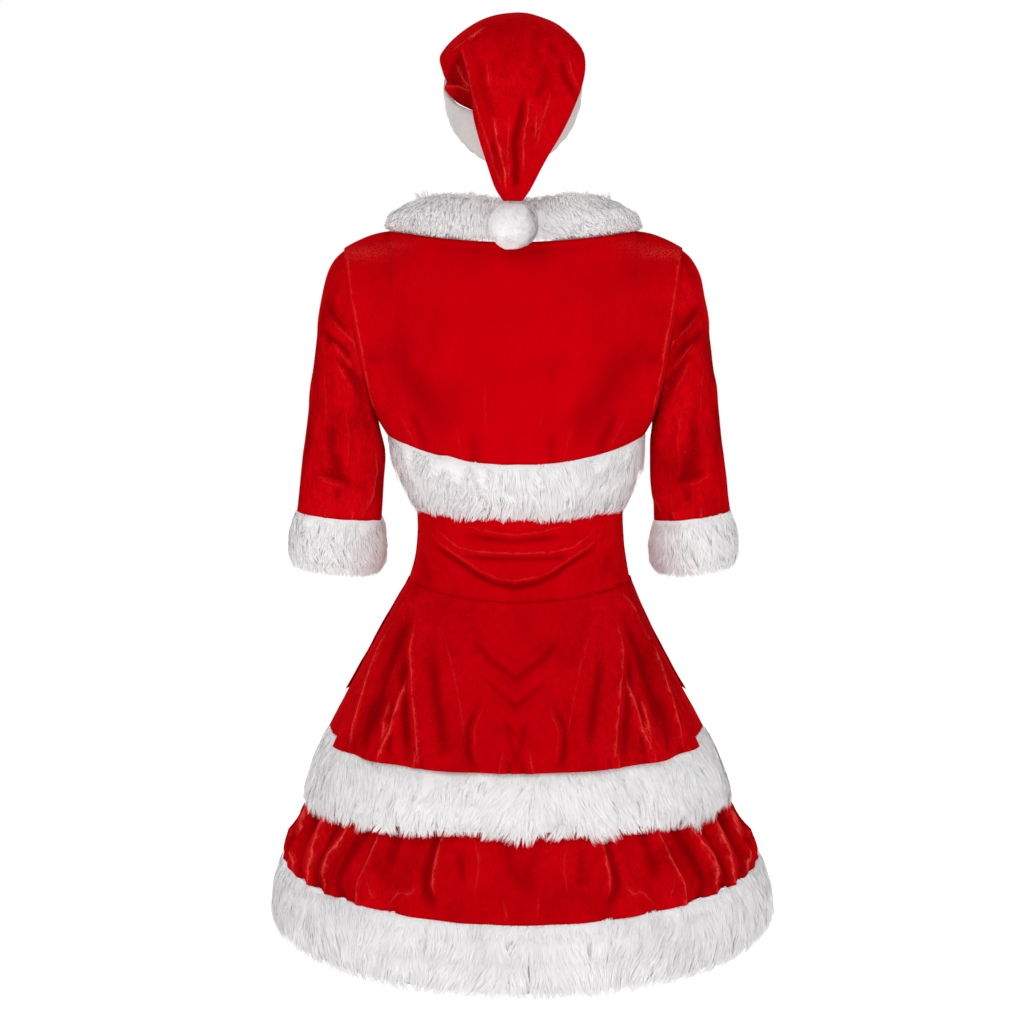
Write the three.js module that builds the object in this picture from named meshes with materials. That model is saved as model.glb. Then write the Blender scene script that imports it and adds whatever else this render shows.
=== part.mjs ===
// Christmas costume set: a soft pointed hat, a cropped bolero with a fur collar, and a tiered dress.
// Millimetres, +Z up. Every garment is open and hollow, in the form it keeps on a wearer who faces -Y
// and whose left is +X. The origin lies midway between the two shoulder points.

import * as THREE from 'three';

// Cloth and seams
const VELVET_WALL = 1.6;
const SEAM_GAP = 0.3;
const LAYER_GAP = 0.4;

// How square the rounded ovals round the wearer are: 2 is a plain ellipse.
const SQUARENESS = 2.15;

// Heights of the dress's edges: at the side seams, the middle of the back and the middle of the front.
const BODICE_TOP = { side: -150, back: -160, front: -128 };
const WAIST = { side: -384, back: -400, front: -396 };
const OVERSKIRT_BACK_HEM = { side: -567, back: -570, front: -570 };
const OVERSKIRT_FRONT_HEM = { side: -522, back: -524, front: -524 };
const TIER1_SEAM = { side: -560, back: -568, front: -568 };
const TIER1_FUR_HEM = { side: -647, back: -640, front: -640 };
const TIER2_TOP = { side: -554, back: -562, front: -562 };
const TIER2_SEAM = { side: -711, back: -724, front: -722 };
const TIER2_FUR_HEM = { side: -793, back: -803, front: -799 };

// Half widths of the dress at each level. The bodice fits the trunk and the skirt flares below the waist.
const BODICE_LEVELS = [
  { z: -120, side: 134, back: 84, front: 102 },
  { z: -180, side: 137, back: 87, front: 110 },
  { z: -222, side: 133, back: 86, front: 107 },
  { z: -257, side: 127, back: 84, front: 98 },
  { z: -304, side: 119.5, back: 84, front: 89 },
  { z: -345, side: 121.5, back: 85, front: 87 },
  { z: -366, side: 124, back: 88, front: 88 },
  { z: -384, side: 129.5, back: 92, front: 92 },
];
const SKIRT_LEVELS = [
  { z: -384, side: 129.5, back: 92, front: 92, square: SQUARENESS },
  { z: -434, side: 154, back: 120, front: 119, square: 2.12 },
  { z: -488, side: 182, back: 148, front: 147, square: 2.08 },
  { z: -560, side: 221, back: 184, front: 182, square: 2.04 },
  { z: -600, side: 232, back: 195, front: 193, square: 2.02 },
  { z: -648, side: 248, back: 209, front: 207, square: 2 },
  { z: -688, side: 272, back: 231, front: 229, square: 2 },
  { z: -711, side: 282, back: 242, front: 240, square: 2 },
  { z: -762, side: 288, back: 251, front: 249, square: 2 },
  { z: -798, side: 288, back: 253, front: 251, square: 2 },
];

// How far off centre the garments hang at each height, towards the wearer's left. The sleeves hang off by
// `low` or more, and by `left` at their outer lines.
const SWAY = [
  { z: 60, left: 4 },
  { z: -60, left: 4 },
  { z: -200, left: 1.5 },
  { z: -257, left: -1.5 },
  { z: -304, left: -3.5 },
  { z: -345, left: -4.5 },
  { z: -384, left: -3 },
  { z: -434, left: 0.8 },
  { z: -488, left: 1.5 },
  { z: -560, left: 1 },
  { z: -648, left: -1 },
  { z: -711, left: -4.5 },
  { z: -762, left: -6.5 },
  { z: -810, left: -6 },
];
const ARM_SWAY = { low: -1, left: 4.2, inner: 155, outer: 235 };
const ARM_PIECES = ['bolero_back', 'bolero_front', 'sleeve', 'cuff'];

// Bust cups of the bodice and the fullness that the bolero's fronts have over them.
const BUST = { x: 58, z: -178, width: 42, height: 40, bodice: 13, bolero: 9 };

// Draped folds across the back of the waist. Each hangs lowest at the middle and rises by `rise` at
// RUCHE_REACH to the side.
const RUCHE_REACH = 100;
const RUCHE_WIDTH = 5;
const RUCHES = [
  { z: -322, rise: 29, depth: 2.2 },
  { z: -339, rise: 10, depth: 2.4 },
  { z: -354, rise: 4, depth: 1.6 },
  { z: -368, rise: 35, depth: 3.2 },
];

// Long soft folds of the skirt layers. `fromSide` is in degrees from the nearest side seam, `lean` moves
// the fold round as it falls, and it fades in from `start` (0 at the waist, 1 at the hem).
const OVERSKIRT_FOLDS = [
  { fromSide: 30, width: 5, depth: 4, lean: -3, start: 0.1 },
  { fromSide: 38, width: 4, depth: -3.5, lean: -2, start: 0.2 },
  { fromSide: 45, width: 4.5, depth: 5, lean: 1, start: 0.25 },
  { fromSide: 54, width: 5, depth: -3.5, lean: 2, start: 0.2 },
  { fromSide: 66, width: 6, depth: 2.5, lean: 2, start: 0.4 },
  { fromSide: 78, width: 6, depth: -2, lean: 3, start: 0.5 },
  { fromSide: 90, width: 5, depth: 2, lean: 0, start: 0.5 },
];
const OVERSKIRT_BACK_EDGE = 23;
const OVERSKIRT_FRONT_EDGE = 7;
const OVERSKIRT_FLARE = { back: 8, front: 2 };

// Pleat crests of the lowest tier, in degrees from the nearest side seam, and how far each stands out.
const PLEATS = [
  { fromSide: 0, depth: 6 },
  { fromSide: 8.5, depth: 6.5 },
  { fromSide: 17, depth: 7 },
  { fromSide: 26, depth: 7 },
  { fromSide: 34.5, depth: 6.5 },
  { fromSide: 43, depth: 6 },
  { fromSide: 53, depth: 6 },
  { fromSide: 65, depth: 8 },
  { fromSide: 77, depth: 4 },
  { fromSide: 90, depth: 3 },
];
const PLEAT_STEPS = 4;

// The pleated tier from its top (fall 0) to its fur seam (1): how far its mean surface stands off the
// skirt's own surface, and how much of the pleats' depth shows.
const TIER2_FALL = [
  { fall: 0, out: -3.8, swing: 0 },
  { fall: 0.45, out: -4.6, swing: 0.15 },
  { fall: 0.64, out: -2, swing: 0.7 },
  { fall: 0.86, out: 0, swing: 1 },
  { fall: 1, out: 0, swing: 0.25 },
];

// Fur bands: `fall` is 0 at the seam and 1 at the tips, `out` is how far the pile stands off the skirt's
// surface and `back` where its backing lies.
const SKIRT_FUR = [
  { fall: 0, out: 1.2, back: -1.5 },
  { fall: 0.2, out: 7, back: -1.5 },
  { fall: 0.5, out: 11.5, back: -1 },
  { fall: 0.85, out: 12, back: 1.5 },
  { fall: 1, out: 8, back: 3.5 },
];
const CUFF_FUR = [
  { fall: 0, out: 1 },
  { fall: 0.2, out: 8 },
  { fall: 0.55, out: 11 },
  { fall: 0.9, out: 9 },
  { fall: 1, out: 6 },
];
const FUR_BACKING = 1.4;

// Bolero: shoulder seam, neckline, hem and the lines down the middle of the back and fronts.
const SHOULDER_POINT = { x: 194, z: 0 };
const SHOULDER_CURVE = 1.7;
const NECK = { side: 142, sideZ: 19, back: 80, backZ: 4, front: 98, frontZ: -36 };
const ARMHOLE = {
  outX: SHOULDER_POINT.x, outZ: SHOULDER_POINT.z, inX: 160, inZ: -199, depth: 59, middle: 0, bow: 2.3,
};
const BOLERO_HEM = { x: 151, z: -213 };
const SIDE_SEAM_SHARE = 0.1;
const CENTRE_BACK = [
  { rise: 0, y: 96, z: -243 },
  { rise: 0.35, y: 99, z: -160 },
  { rise: 0.7, y: 96, z: -70 },
  { rise: 1, y: NECK.back, z: NECK.backZ },
];
const CENTRE_FRONT = [
  { rise: 0, y: -121, z: -229 },
  { rise: 0.35, y: -128, z: -165 },
  { rise: 0.7, y: -119, z: -95 },
  { rise: 1, y: -NECK.front, z: NECK.frontZ },
];
const FRONT_OPENING = 5;

// Fur band round the bolero's hem: its outer face at each level.
const HEM_FUR_TOP = { side: BOLERO_HEM.z, back: -243, front: -229 };
const HEM_FUR_LOW = { side: -303, back: -308, front: -306 };
const HEM_FUR = [
  { fall: 0, side: 151, back: 97, front: 122, thick: 2.5 },
  { fall: 0.2, side: 151, back: 102, front: 124, thick: 8 },
  { fall: 0.5, side: 146, back: 105, front: 119, thick: 10 },
  { fall: 0.8, side: 133.5, back: 101, front: 108, thick: 9 },
  { fall: 1, side: 124.5, back: 90.5, front: 94.5, thick: 3.9 },
];

// Collar: fur round the neckline, height and lean at the sides, the back and the front ends.
const COLLAR = [
  { fromSide: -84, height: 40, thick: 24, lean: 8 },
  { fromSide: -45, height: 38, thick: 24, lean: 22 },
  { fromSide: 0, height: 34, thick: 24, lean: 35 },
  { fromSide: 25, height: 39, thick: 24, lean: 28 },
  { fromSide: 60, height: 50, thick: 24, lean: 12 },
  { fromSide: 90, height: 47, thick: 24, lean: 6 },
];
const COLLAR_SEAT = 0.8;
const COLLAR_SIDES = 8;
const COLLAR_STATIONS = 30;

// Sleeve rings from the armhole down to the cuff seam: the outer and the inner line of the arm.
const SLEEVE = [
  { along: 0, ...ARMHOLE },
  { along: 0.1, outX: 209, outZ: -13, inX: 158, inZ: -208, depth: 57.5, middle: 0, bow: 3 },
  { along: 0.25, outX: 220, outZ: -43, inX: 154.5, inZ: -221, depth: 55, middle: 0, bow: 3 },
  { along: 0.45, outX: 230, outZ: -105, inX: 152.5, inZ: -238, depth: 51.5, middle: 0, bow: 2 },
  { along: 0.7, outX: 241, outZ: -190, inX: 154.5, inZ: -268, depth: 48, middle: -1, bow: 1 },
  { along: 1, outX: 254.5, outZ: -304, inX: 158.5, inZ: -315.5, depth: 46, middle: -2, bow: 0 },
];
const CUFF_LOW = { outX: 255, outZ: -371, inX: 166, inZ: -379, depth: 45, middle: -4, bow: 0 };

// Folds of the sleeve: `around` is in degrees from the outer line, 90 being the back of the arm.
const SLEEVE_FOLDS = [
  { around: 60, width: 16, depth: 1.8, lean: 30, start: 0.15 },
  { around: 112, width: 14, depth: -2.6, lean: 22, start: 0.05 },
  { around: 140, width: 14, depth: 2.6, lean: 8, start: 0.05 },
  { around: 205, width: 15, depth: -2.2, lean: -10, start: 0.1 },
  { around: 250, width: 18, depth: 2.2, lean: -25, start: 0.1 },
  { around: 305, width: 18, depth: -1.8, lean: -30, start: 0.2 },
];

// Hat rings along the cone. The outer line runs from the forehead over the crown and down the tail; the
// inner line runs up from the nape, turns over at the fold and goes down inside the tail.
const HAT = [
  { along: 0, outY: -86, outZ: 232, inY: 82, inZ: 140, half: 78, centre: 5, sag: 0 },
  { along: 1, outY: -82, outZ: 250, inY: 89, inZ: 166, half: 80.5, centre: 5, sag: 4 },
  { along: 2, outY: -60, outZ: 262, inY: 94, inZ: 190, half: 81, centre: 5, sag: 12 },
  { along: 3, outY: -26, outZ: 266, inY: 98, inZ: 206, half: 79, centre: 4, sag: 20 },
  { along: 4, outY: 10, outZ: 265, inY: 101, inZ: 213, half: 76, centre: 2, sag: 24 },
  { along: 5, outY: 46, outZ: 259, inY: 104, inZ: 215, half: 72.5, centre: 1, sag: 25 },
  { along: 6, outY: 79, outZ: 247, inY: 106.5, inZ: 213, half: 71, centre: -1.5, sag: 20 },
  { along: 7, outY: 105, outZ: 229, inY: 108.5, inZ: 206, half: 68.5, centre: -4.5, sag: 13 },
  { along: 8, outY: 119, outZ: 205, inY: 110, inZ: 192, half: 66, centre: -9, sag: 6 },
  { along: 9, outY: 126, outZ: 178, inY: 111.5, inZ: 170, half: 61, centre: -11, sag: 2 },
  { along: 10, outY: 129, outZ: 150, inY: 113, inZ: 146, half: 56, centre: -6.5, sag: 0 },
  { along: 11, outY: 130, outZ: 124, inY: 114.5, inZ: 122, half: 48, centre: -3, sag: 0 },
  { along: 12, outY: 129.5, outZ: 99, inY: 115.5, inZ: 98, half: 36.5, centre: 0.5, sag: 0 },
  { along: 13, outY: 128, outZ: 75, inY: 116, inZ: 74, half: 26, centre: 3.2, sag: 0 },
  { along: 14, outY: 126, outZ: 59, inY: 116, inZ: 58, half: 19.5, centre: 4.4, sag: 0 },
  { along: 15, outY: 123.5, outZ: 47.2, inY: 115.5, inZ: 47.2, half: 10.5, centre: 4.4, sag: 0 },
];
const HAT_RIM = { outY: -88, outZ: 175, inY: 80, inZ: 84, half: 73, centre: 5.5, sag: -29 };
const HAT_RING_SIDES = 24;
const BAND_PILE = [
  { fall: 0, out: 2 },
  { fall: 0.5, out: 4.5 },
  { fall: 1, out: 3 },
];
const BAND_BACKING = 1.5;

// Folds of the hat, in degrees round from the outer line: positive towards the wearer's left.
const HAT_FOLDS = [
  { around: -52, width: 13, depth: 2.5, from: 5, to: 13 },
  { around: -14, width: 10, depth: -3.5, from: 8, to: 15 },
  { around: 12, width: 11, depth: 3, from: 7, to: 14 },
  { around: 42, width: 10, depth: -3, from: 6, to: 14 },
  { around: 62, width: 11, depth: 3, from: 4, to: 13 },
  { around: 100, width: 14, depth: -4, from: 2, to: 8 },
];
const POMPOM = { x: 4.4, y: 114.4, z: 20.5, wide: 29, deep: 24.5, high: 27, columns: 18, rows: 10, lump: 0.8 };

// Colours of the cloths
const VELVET = new THREE.MeshStandardMaterial({ color: 0xc4000c, roughness: 0.7, metalness: 0 });
const FUR = new THREE.MeshStandardMaterial({ color: 0xf1eeee, roughness: 0.95, metalness: 0 });
const PLUSH = new THREE.MeshStandardMaterial({ color: 0xdedbd8, roughness: 0.9, metalness: 0 });

const radians = (degrees) => degrees * Math.PI / 180;
const mix = (a, b, t) => a + (b - a) * t;
const clamp01 = (value) => Math.min(Math.max(value, 0), 1);

// Smooth step from 0 at `low` to 1 at `high`.
function fade(value, low, high) {
  const t = clamp01((value - low) / (high - low));
  return t * t * (3 - 2 * t);
}

// `count` + 1 even steps from `first` to `last`.
function steps(first, last, count) {
  return Array.from({ length: count + 1 }, (_, i) => mix(first, last, i / count));
}

// The numbers of a table at one value of its key, on a smooth curve through the table's rows.
function rowAt(table, key, value) {
  const rising = table[1][key] > table[0][key];
  let i = 0;
  while (i < table.length - 2 && (rising ? value > table[i + 1][key] : value < table[i + 1][key])) i += 1;
  const a = table[i];
  const b = table[i + 1];
  const before = table[i - 1] ?? a;
  const after = table[i + 2] ?? b;
  const span = b[key] - a[key];
  const t = clamp01((value - a[key]) / span);
  const row = {};
  for (const column of Object.keys(a)) {
    const slopeA = span * (b[column] - before[column]) / (b[key] - before[key]);
    const slopeB = span * (after[column] - a[column]) / (after[key] - a[key]);
    row[column] = a[column] * (2 * t ** 3 - 3 * t ** 2 + 1) + slopeA * (t ** 3 - 2 * t ** 2 + t)
      + b[column] * (3 * t ** 2 - 2 * t ** 3) + slopeB * (t ** 3 - t ** 2);
  }
  return row;
}

// A point of a rounded oval. Angle 0 is the left side, 90 the back, 180 the right side and 270 the front.
function ovalPoint(level, degrees, z, squareness = level.square ?? SQUARENESS) {
  const c = Math.cos(radians(degrees));
  const s = Math.sin(radians(degrees));
  const power = 2 / squareness;
  const depth = s > 0 ? level.back : level.front;
  return new THREE.Vector3(
    level.side * Math.sign(c) * Math.abs(c) ** power,
    depth * Math.sign(s) * Math.abs(s) ** power,
    z,
  );
}

// Height of an edge of the dress at an angle round the wearer.
function edgeZ(edge, degrees) {
  const s = Math.sin(radians(degrees));
  return mix(edge.side, s > 0 ? edge.back : edge.front, s * s);
}

// Degrees from the nearest side seam, 90 at the middle of the back or of the front.
function fromSideSeam(degrees) {
  const middle = degrees > 180 ? 270 : 90;
  return 90 - Math.abs(degrees - middle);
}

// A ring round an arm or a hat. Angle 0 is on its outer line and 180 on its inner line.
function ringPoint(outer, inner, half, bow, degrees) {
  const c = Math.cos(radians(degrees));
  const s = Math.sin(radians(degrees));
  const middle = outer.clone().add(inner).multiplyScalar(0.5);
  return middle
    .add(outer.clone().sub(inner).multiplyScalar(0.5 * c))
    .addScaledVector(half, s)
    .addScaledVector(bow, s * s);
}

function makeGrid(rows, columns, point) {
  return rows.map((row) => columns.map((column) => point(row, column)));
}

// Outward unit normals of a grid of points. Rows of a tube close on themselves.
function gridNormals(grid, tube) {
  const rowCount = grid.length;
  const columnCount = grid[0].length;
  const column = (j) => (tube ? (j + columnCount) % columnCount : Math.min(Math.max(j, 0), columnCount - 1));
  const normals = grid.map((row, i) => row.map((_, j) => {
    const across = grid[i][column(j + 1)].clone().sub(grid[i][column(j - 1)]);
    const along = grid[Math.min(i + 1, rowCount - 1)][j].clone().sub(grid[Math.max(i - 1, 0)][j]);
    return across.cross(along).normalize();
  }));
  let outwards = 0;
  grid.forEach((row, i) => {
    const centre = row.reduce((sum, p) => sum.add(p), new THREE.Vector3()).divideScalar(columnCount);
    row.forEach((p, j) => {
      outwards += p.clone().sub(centre).dot(normals[i][j]);
    });
  });
  if (outwards < 0) normals.forEach((row) => row.forEach((n) => n.negate()));
  return normals;
}

// A grid moved along its outward normals by a distance for each row and column.
function moved(grid, distance, tube = false) {
  const normals = gridNormals(grid, tube);
  return grid.map((row, i) => row.map((p, j) => p.clone().addScaledVector(normals[i][j], distance(i, j))));
}

// A panel's grid moved level, so that its edges keep their heights, and kept on its own side of the seams.
function movedLevel(grid, distance, facing) {
  const normals = gridNormals(grid, false);
  return grid.map((row, i) => row.map((p, j) => {
    const out = normals[i][j].setZ(0).normalize();
    return ownSide(p.clone().addScaledVector(out, distance(i, j)), facing);
  }));
}

// A point kept half a seam gap behind or before the side seams' plane.
function ownSide(point, facing) {
  const way = facing === 'back' ? 1 : -1;
  return point.setY(way * Math.max(way * point.y, SEAM_GAP / 2));
}

// One closed body from triangles, with its faces pointing out.
function closedBody(vertices, triangles) {
  let volume = 0;
  for (const [a, b, c] of triangles) {
    volume += vertices[a].dot(vertices[b].clone().cross(vertices[c]));
  }
  const facing = volume > 0 ? triangles : triangles.map(([a, b, c]) => [a, c, b]);
  const geometry = new THREE.BufferGeometry();
  geometry.setAttribute('position', new THREE.Float32BufferAttribute(vertices.flatMap((v) => v.toArray()), 3));
  geometry.setIndex(facing.flat());
  geometry.computeVertexNormals();
  return geometry;
}

// The closed body between an outer and an inner grid: two faces and the edges that join them.
function shell(outer, inner, tube = false) {
  const rowCount = outer.length;
  const columnCount = outer[0].length;
  const vertices = [...outer.flat(), ...inner.flat()];
  const triangles = [];
  const at = (side, i, j) => side * rowCount * columnCount + i * columnCount + (j % columnCount);
  const quad = (a, b, c, d) => triangles.push([a, b, c], [a, c, d]);
  const lastColumn = tube ? columnCount : columnCount - 1;
  for (let j = 0; j < lastColumn; j += 1) {
    for (let i = 0; i < rowCount - 1; i += 1) {
      quad(at(0, i, j), at(0, i, j + 1), at(0, i + 1, j + 1), at(0, i + 1, j));
      quad(at(1, i, j), at(1, i + 1, j), at(1, i + 1, j + 1), at(1, i, j + 1));
    }
    quad(at(1, 0, j), at(1, 0, j + 1), at(0, 0, j + 1), at(0, 0, j));
    const top = rowCount - 1;
    quad(at(0, top, j), at(0, top, j + 1), at(1, top, j + 1), at(1, top, j));
  }
  if (!tube) {
    const right = columnCount - 1;
    for (let i = 0; i < rowCount - 1; i += 1) {
      quad(at(0, i, 0), at(0, i + 1, 0), at(1, i + 1, 0), at(1, i, 0));
      quad(at(1, i, right), at(1, i + 1, right), at(0, i + 1, right), at(0, i, right));
    }
  }
  return closedBody(vertices, triangles);
}

// A wall of velvet behind a grid of outer points. `trim` keeps its inner points clear of a neighbour.
function velvetWall(grid, tube = false, trim = () => {}) {
  const inner = moved(grid, () => -VELVET_WALL, tube);
  inner.forEach((row, i) => row.forEach((p) => trim(p, i)));
  return shell(grid, inner, tube);
}

// A back or front panel of the dress, with its wall measured level.
const dressPanel = (grid, facing) => shell(grid, movedLevel(grid, () => -VELVET_WALL, facing));

// A fur band on a backing: the grid's first row is the lower edge and its last row is the seam.
function furBand(backing, pile, backingThickness, tube = false) {
  const top = backing.length - 1;
  const outer = moved(backing, (i) => rowAt(pile, 'fall', 1 - i / top).out, tube);
  const inner = moved(backing, () => -backingThickness, tube);
  return shell(outer, inner, tube);
}

// Moves a garment's points sideways to where they hang.
function hung(geometry, onArms) {
  const at = geometry.attributes.position;
  for (let i = 0; i < at.count; i += 1) {
    const body = rowAt(SWAY, 'z', at.getZ(i)).left;
    const armShare = fade(Math.abs(at.getX(i)), ARM_SWAY.inner, ARM_SWAY.outer);
    const arm = mix(Math.max(body, ARM_SWAY.low), ARM_SWAY.left, armShare);
    at.setX(i, at.getX(i) + (onArms ? arm : body));
  }
  return geometry;
}

function piece(name, geometry, material) {
  const onArms = ARM_PIECES.some((start) => name.startsWith(start));
  const mesh = new THREE.Mesh(name.startsWith('hat') ? geometry : hung(geometry, onArms), material);
  mesh.name = name;
  return mesh;
}

// Angles of a back panel (0 to 180) or front panel (180 to 360), kept half a seam clear of each side.
function panelAngles(facing, count, edge, radius) {
  const margin = edge + SEAM_GAP * 90 / (Math.PI * radius);
  const start = facing === 'back' ? 0 : 180;
  return steps(start + margin, start + 180 - margin, count);
}

// Bodice
function bustFullness(point, fullness) {
  const side = (Math.abs(point.x) - BUST.x) / BUST.width;
  const level = (point.z - BUST.z) / BUST.height;
  return fullness * Math.exp(-side * side - level * level);
}

function rucheRelief(point) {
  const reach = Math.abs(point.x) / RUCHE_REACH;
  return RUCHES.reduce((sum, ruche) => {
    const off = (point.z - ruche.z - ruche.rise * reach ** 1.5) / RUCHE_WIDTH;
    const ridge = Math.exp(-off * off) - 0.7 * Math.exp(-((off + 1.6) ** 2));
    return sum + ruche.depth * ridge * (1 - fade(reach, 0.85, 1.15));
  }, 0);
}

function bodicePanel(facing, rows, columnCount) {
  const grid = makeGrid(rows, panelAngles(facing, columnCount, 0, 120), (rise, angle) => {
    const level = rowAt(BODICE_LEVELS, 'z', mix(WAIST.side, BODICE_TOP.side, rise));
    const z = mix(edgeZ(WAIST, angle), edgeZ(BODICE_TOP, angle), rise);
    const point = ovalPoint(level, angle, z);
    const out = facing === 'back' ? rucheRelief(point) : -bustFullness(point, BUST.bodice);
    point.y += out;
    return ownSide(point, facing);
  });
  return dressPanel(grid, facing);
}

// Skirt layers
function skirtPoint(angle, nominalZ, z, out) {
  const level = rowAt(SKIRT_LEVELS, 'z', nominalZ);
  const { side, back, front, square } = level;
  const grown = { side: side + out, back: back + out, front: front + out, square };
  return ovalPoint(grown, angle, z);
}

function layerGrid(angles, rows, low, high, out) {
  return makeGrid(rows, angles, (rise, angle) => {
    const nominalZ = mix(low.side, high.side, rise);
    const z = mix(edgeZ(low, angle), edgeZ(high, angle), rise);
    return skirtPoint(angle, nominalZ, z, out(1 - rise, angle));
  });
}

const below = (edge) => ({ side: edge.side - SEAM_GAP, back: edge.back - SEAM_GAP, front: edge.front - SEAM_GAP });

function skirtFold(fall, angle) {
  const around = fromSideSeam(angle);
  return OVERSKIRT_FOLDS.reduce((sum, fold) => {
    const off = (around - fold.fromSide - fold.lean * fall) / fold.width;
    return sum + fold.depth * Math.exp(-off * off) * fade(fall, fold.start, 1);
  }, 0);
}

function overskirtPanel(facing, hem, edge, columnCount, rowCount) {
  const angles = panelAngles(facing, columnCount, edge, 160);
  const out = (fall, angle) => VELVET_WALL + LAYER_GAP + OVERSKIRT_FLARE[facing] * fade(fall, 0, 0.8)
    + skirtFold(fall, angle);
  return dressPanel(layerGrid(angles, steps(0, 1, rowCount), hem, below(WAIST), out), facing);
}

function tierPanel(facing) {
  const angles = panelAngles(facing, 18, 0, 180);
  return dressPanel(layerGrid(angles, steps(0, 1, 4), TIER1_SEAM, below(WAIST), () => 0), facing);
}

// Relief of the pleats: each crest swings to the hollow midway to the next crest.
function pleatRelief(around) {
  let i = 0;
  while (i < PLEATS.length - 2 && around > PLEATS[i + 1].fromSide) i += 1;
  const a = PLEATS[i];
  const b = PLEATS[i + 1];
  const t = clamp01((around - a.fromSide) / (b.fromSide - a.fromSide));
  return mix(a.depth, b.depth, t) * Math.cos(2 * Math.PI * t);
}

// Columns of the pleated tier: PLEAT_STEPS to each pleat, over one half of the skirt.
function pleatAngles(facing) {
  const start = facing === 'back' ? 0 : 180;
  const quarter = PLEATS.slice(0, -1).flatMap((pleat, i) => (
    steps(pleat.fromSide, PLEATS[i + 1].fromSide, PLEAT_STEPS).slice(0, -1)
  ));
  const half = [...quarter, 90, ...quarter.map((angle) => 180 - angle).reverse()];
  const margin = SEAM_GAP * 90 / (Math.PI * 250);
  return half.map((angle) => start + Math.min(Math.max(angle, margin), 180 - margin));
}

function pleatedPanel(facing) {
  const rows = TIER2_FALL.map((row) => 1 - row.fall).reverse();
  const out = (fall, angle) => {
    const tier = rowAt(TIER2_FALL, 'fall', fall);
    return tier.out + tier.swing * pleatRelief(fromSideSeam(angle));
  };
  return dressPanel(layerGrid(pleatAngles(facing), rows, TIER2_SEAM, TIER2_TOP, out), facing);
}

function skirtFur(facing, seam, hem) {
  const angles = panelAngles(facing, 18, 0, 250);
  const rows = SKIRT_FUR.map((row) => 1 - row.fall).reverse();
  const grid = layerGrid(angles, rows, hem, below(seam), () => 0);
  const pile = rows.map((rise) => rowAt(SKIRT_FUR, 'fall', 1 - rise));
  return shell(movedLevel(grid, (i) => pile[i].out, facing), movedLevel(grid, (i) => pile[i].back, facing));
}

// Bolero
const sleeveRing = (ring, degrees) => ringPoint(
  new THREE.Vector3(ring.outX, ring.middle, ring.outZ),
  new THREE.Vector3(ring.inX, ring.middle, ring.inZ),
  new THREE.Vector3(0, ring.depth, 0),
  new THREE.Vector3(ring.bow, 0, 0),
  degrees,
);

// How far out the armhole seam lies at a height.
function armholeX(z) {
  const c = (2 * z - ARMHOLE.outZ - ARMHOLE.inZ) / (ARMHOLE.outZ - ARMHOLE.inZ);
  return (ARMHOLE.outX + ARMHOLE.inX + c * (ARMHOLE.outX - ARMHOLE.inX)) / 2 + ARMHOLE.bow * (1 - c * c);
}

// Upper edge of the bolero at a distance from the middle: the shoulder seam, then the neckline.
function boleroTop(x, way) {
  const aside = Math.abs(x);
  if (aside >= NECK.side) {
    const t = (aside - NECK.side) / (SHOULDER_POINT.x - NECK.side);
    return { y: 0, z: mix(NECK.sideZ, SHOULDER_POINT.z, t ** SHOULDER_CURVE) };
  }
  const s = Math.sqrt(1 - (aside / NECK.side) ** 2);
  const depth = way > 0 ? NECK.back : -NECK.front;
  return { y: depth * s, z: mix(NECK.sideZ, way > 0 ? NECK.backZ : NECK.frontZ, s * s) };
}

// A point of the bolero. `across` is 0 at the middle and 1 at the side or armhole, `rise` is 0 at the hem
// and 1 at the shoulder, and `way` is 1 at the back and -1 at the front.
function boleroPoint(across, rise, way) {
  const climb = clamp01((rise - SIDE_SEAM_SHARE) / (1 - SIDE_SEAM_SHARE));
  const hemCorner = new THREE.Vector3(BOLERO_HEM.x, 0, BOLERO_HEM.z);
  const edge = climb > 0
    ? sleeveRing(ARMHOLE, way * 180 * (1 - climb))
    : hemCorner.lerp(sleeveRing(ARMHOLE, 180), rise / SIDE_SEAM_SHARE);
  const centreLine = way > 0 ? CENTRE_BACK : CENTRE_FRONT;
  const middle = rowAt(centreLine, 'rise', rise);
  const u = Math.abs(across);
  const round = (1 - u ** SQUARENESS) ** (1 / SQUARENESS);
  const flat = 1 - u ** 2.4;
  const bulge = mix(round, flat, fade(climb, 0, 0.45));
  const dip = 1 - u ** SQUARENESS;
  const point = new THREE.Vector3(
    across * edge.x,
    edge.y + (middle.y - edge.y) * bulge,
    edge.z + (middle.z - edge.z) * dip,
  );
  const cut = boleroTop(across * SHOULDER_POINT.x, way);
  const top = rowAt(centreLine, 'rise', 1);
  const pull = rise ** 4;
  point.y += (cut.y - top.y * flat) * pull;
  point.z += (cut.z - top.z * dip) * pull;
  if (way < 0) point.y -= bustFullness(point, BUST.bolero);
  return ownSide(point, way > 0 ? 'back' : 'front');
}

// Columns of a bolero panel as shares of the shoulder's half width: close together at the shoulder.
function boleroColumns(neckSteps) {
  const neckShare = NECK.side / SHOULDER_POINT.x;
  const neck = steps(0, 90, neckSteps).map((angle) => neckShare * Math.sin(radians(angle)));
  const shoulder = [0.79, 0.85, 0.91, 0.965, 0.99, 1];
  return [...neck, ...shoulder];
}

// Keeps the wall's inner points inside the armhole and on their own side of the seams.
function boleroTrim(facing) {
  return (point) => {
    if (point.z > ARMHOLE.inZ) point.x = Math.sign(point.x) * Math.min(Math.abs(point.x), armholeX(point.z));
    ownSide(point, facing);
  };
}

const BOLERO_ROWS = [0, SIDE_SEAM_SHARE, 0.2, 0.32, 0.44, 0.56, 0.67, 0.77, 0.86, 0.93, 1];

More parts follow.
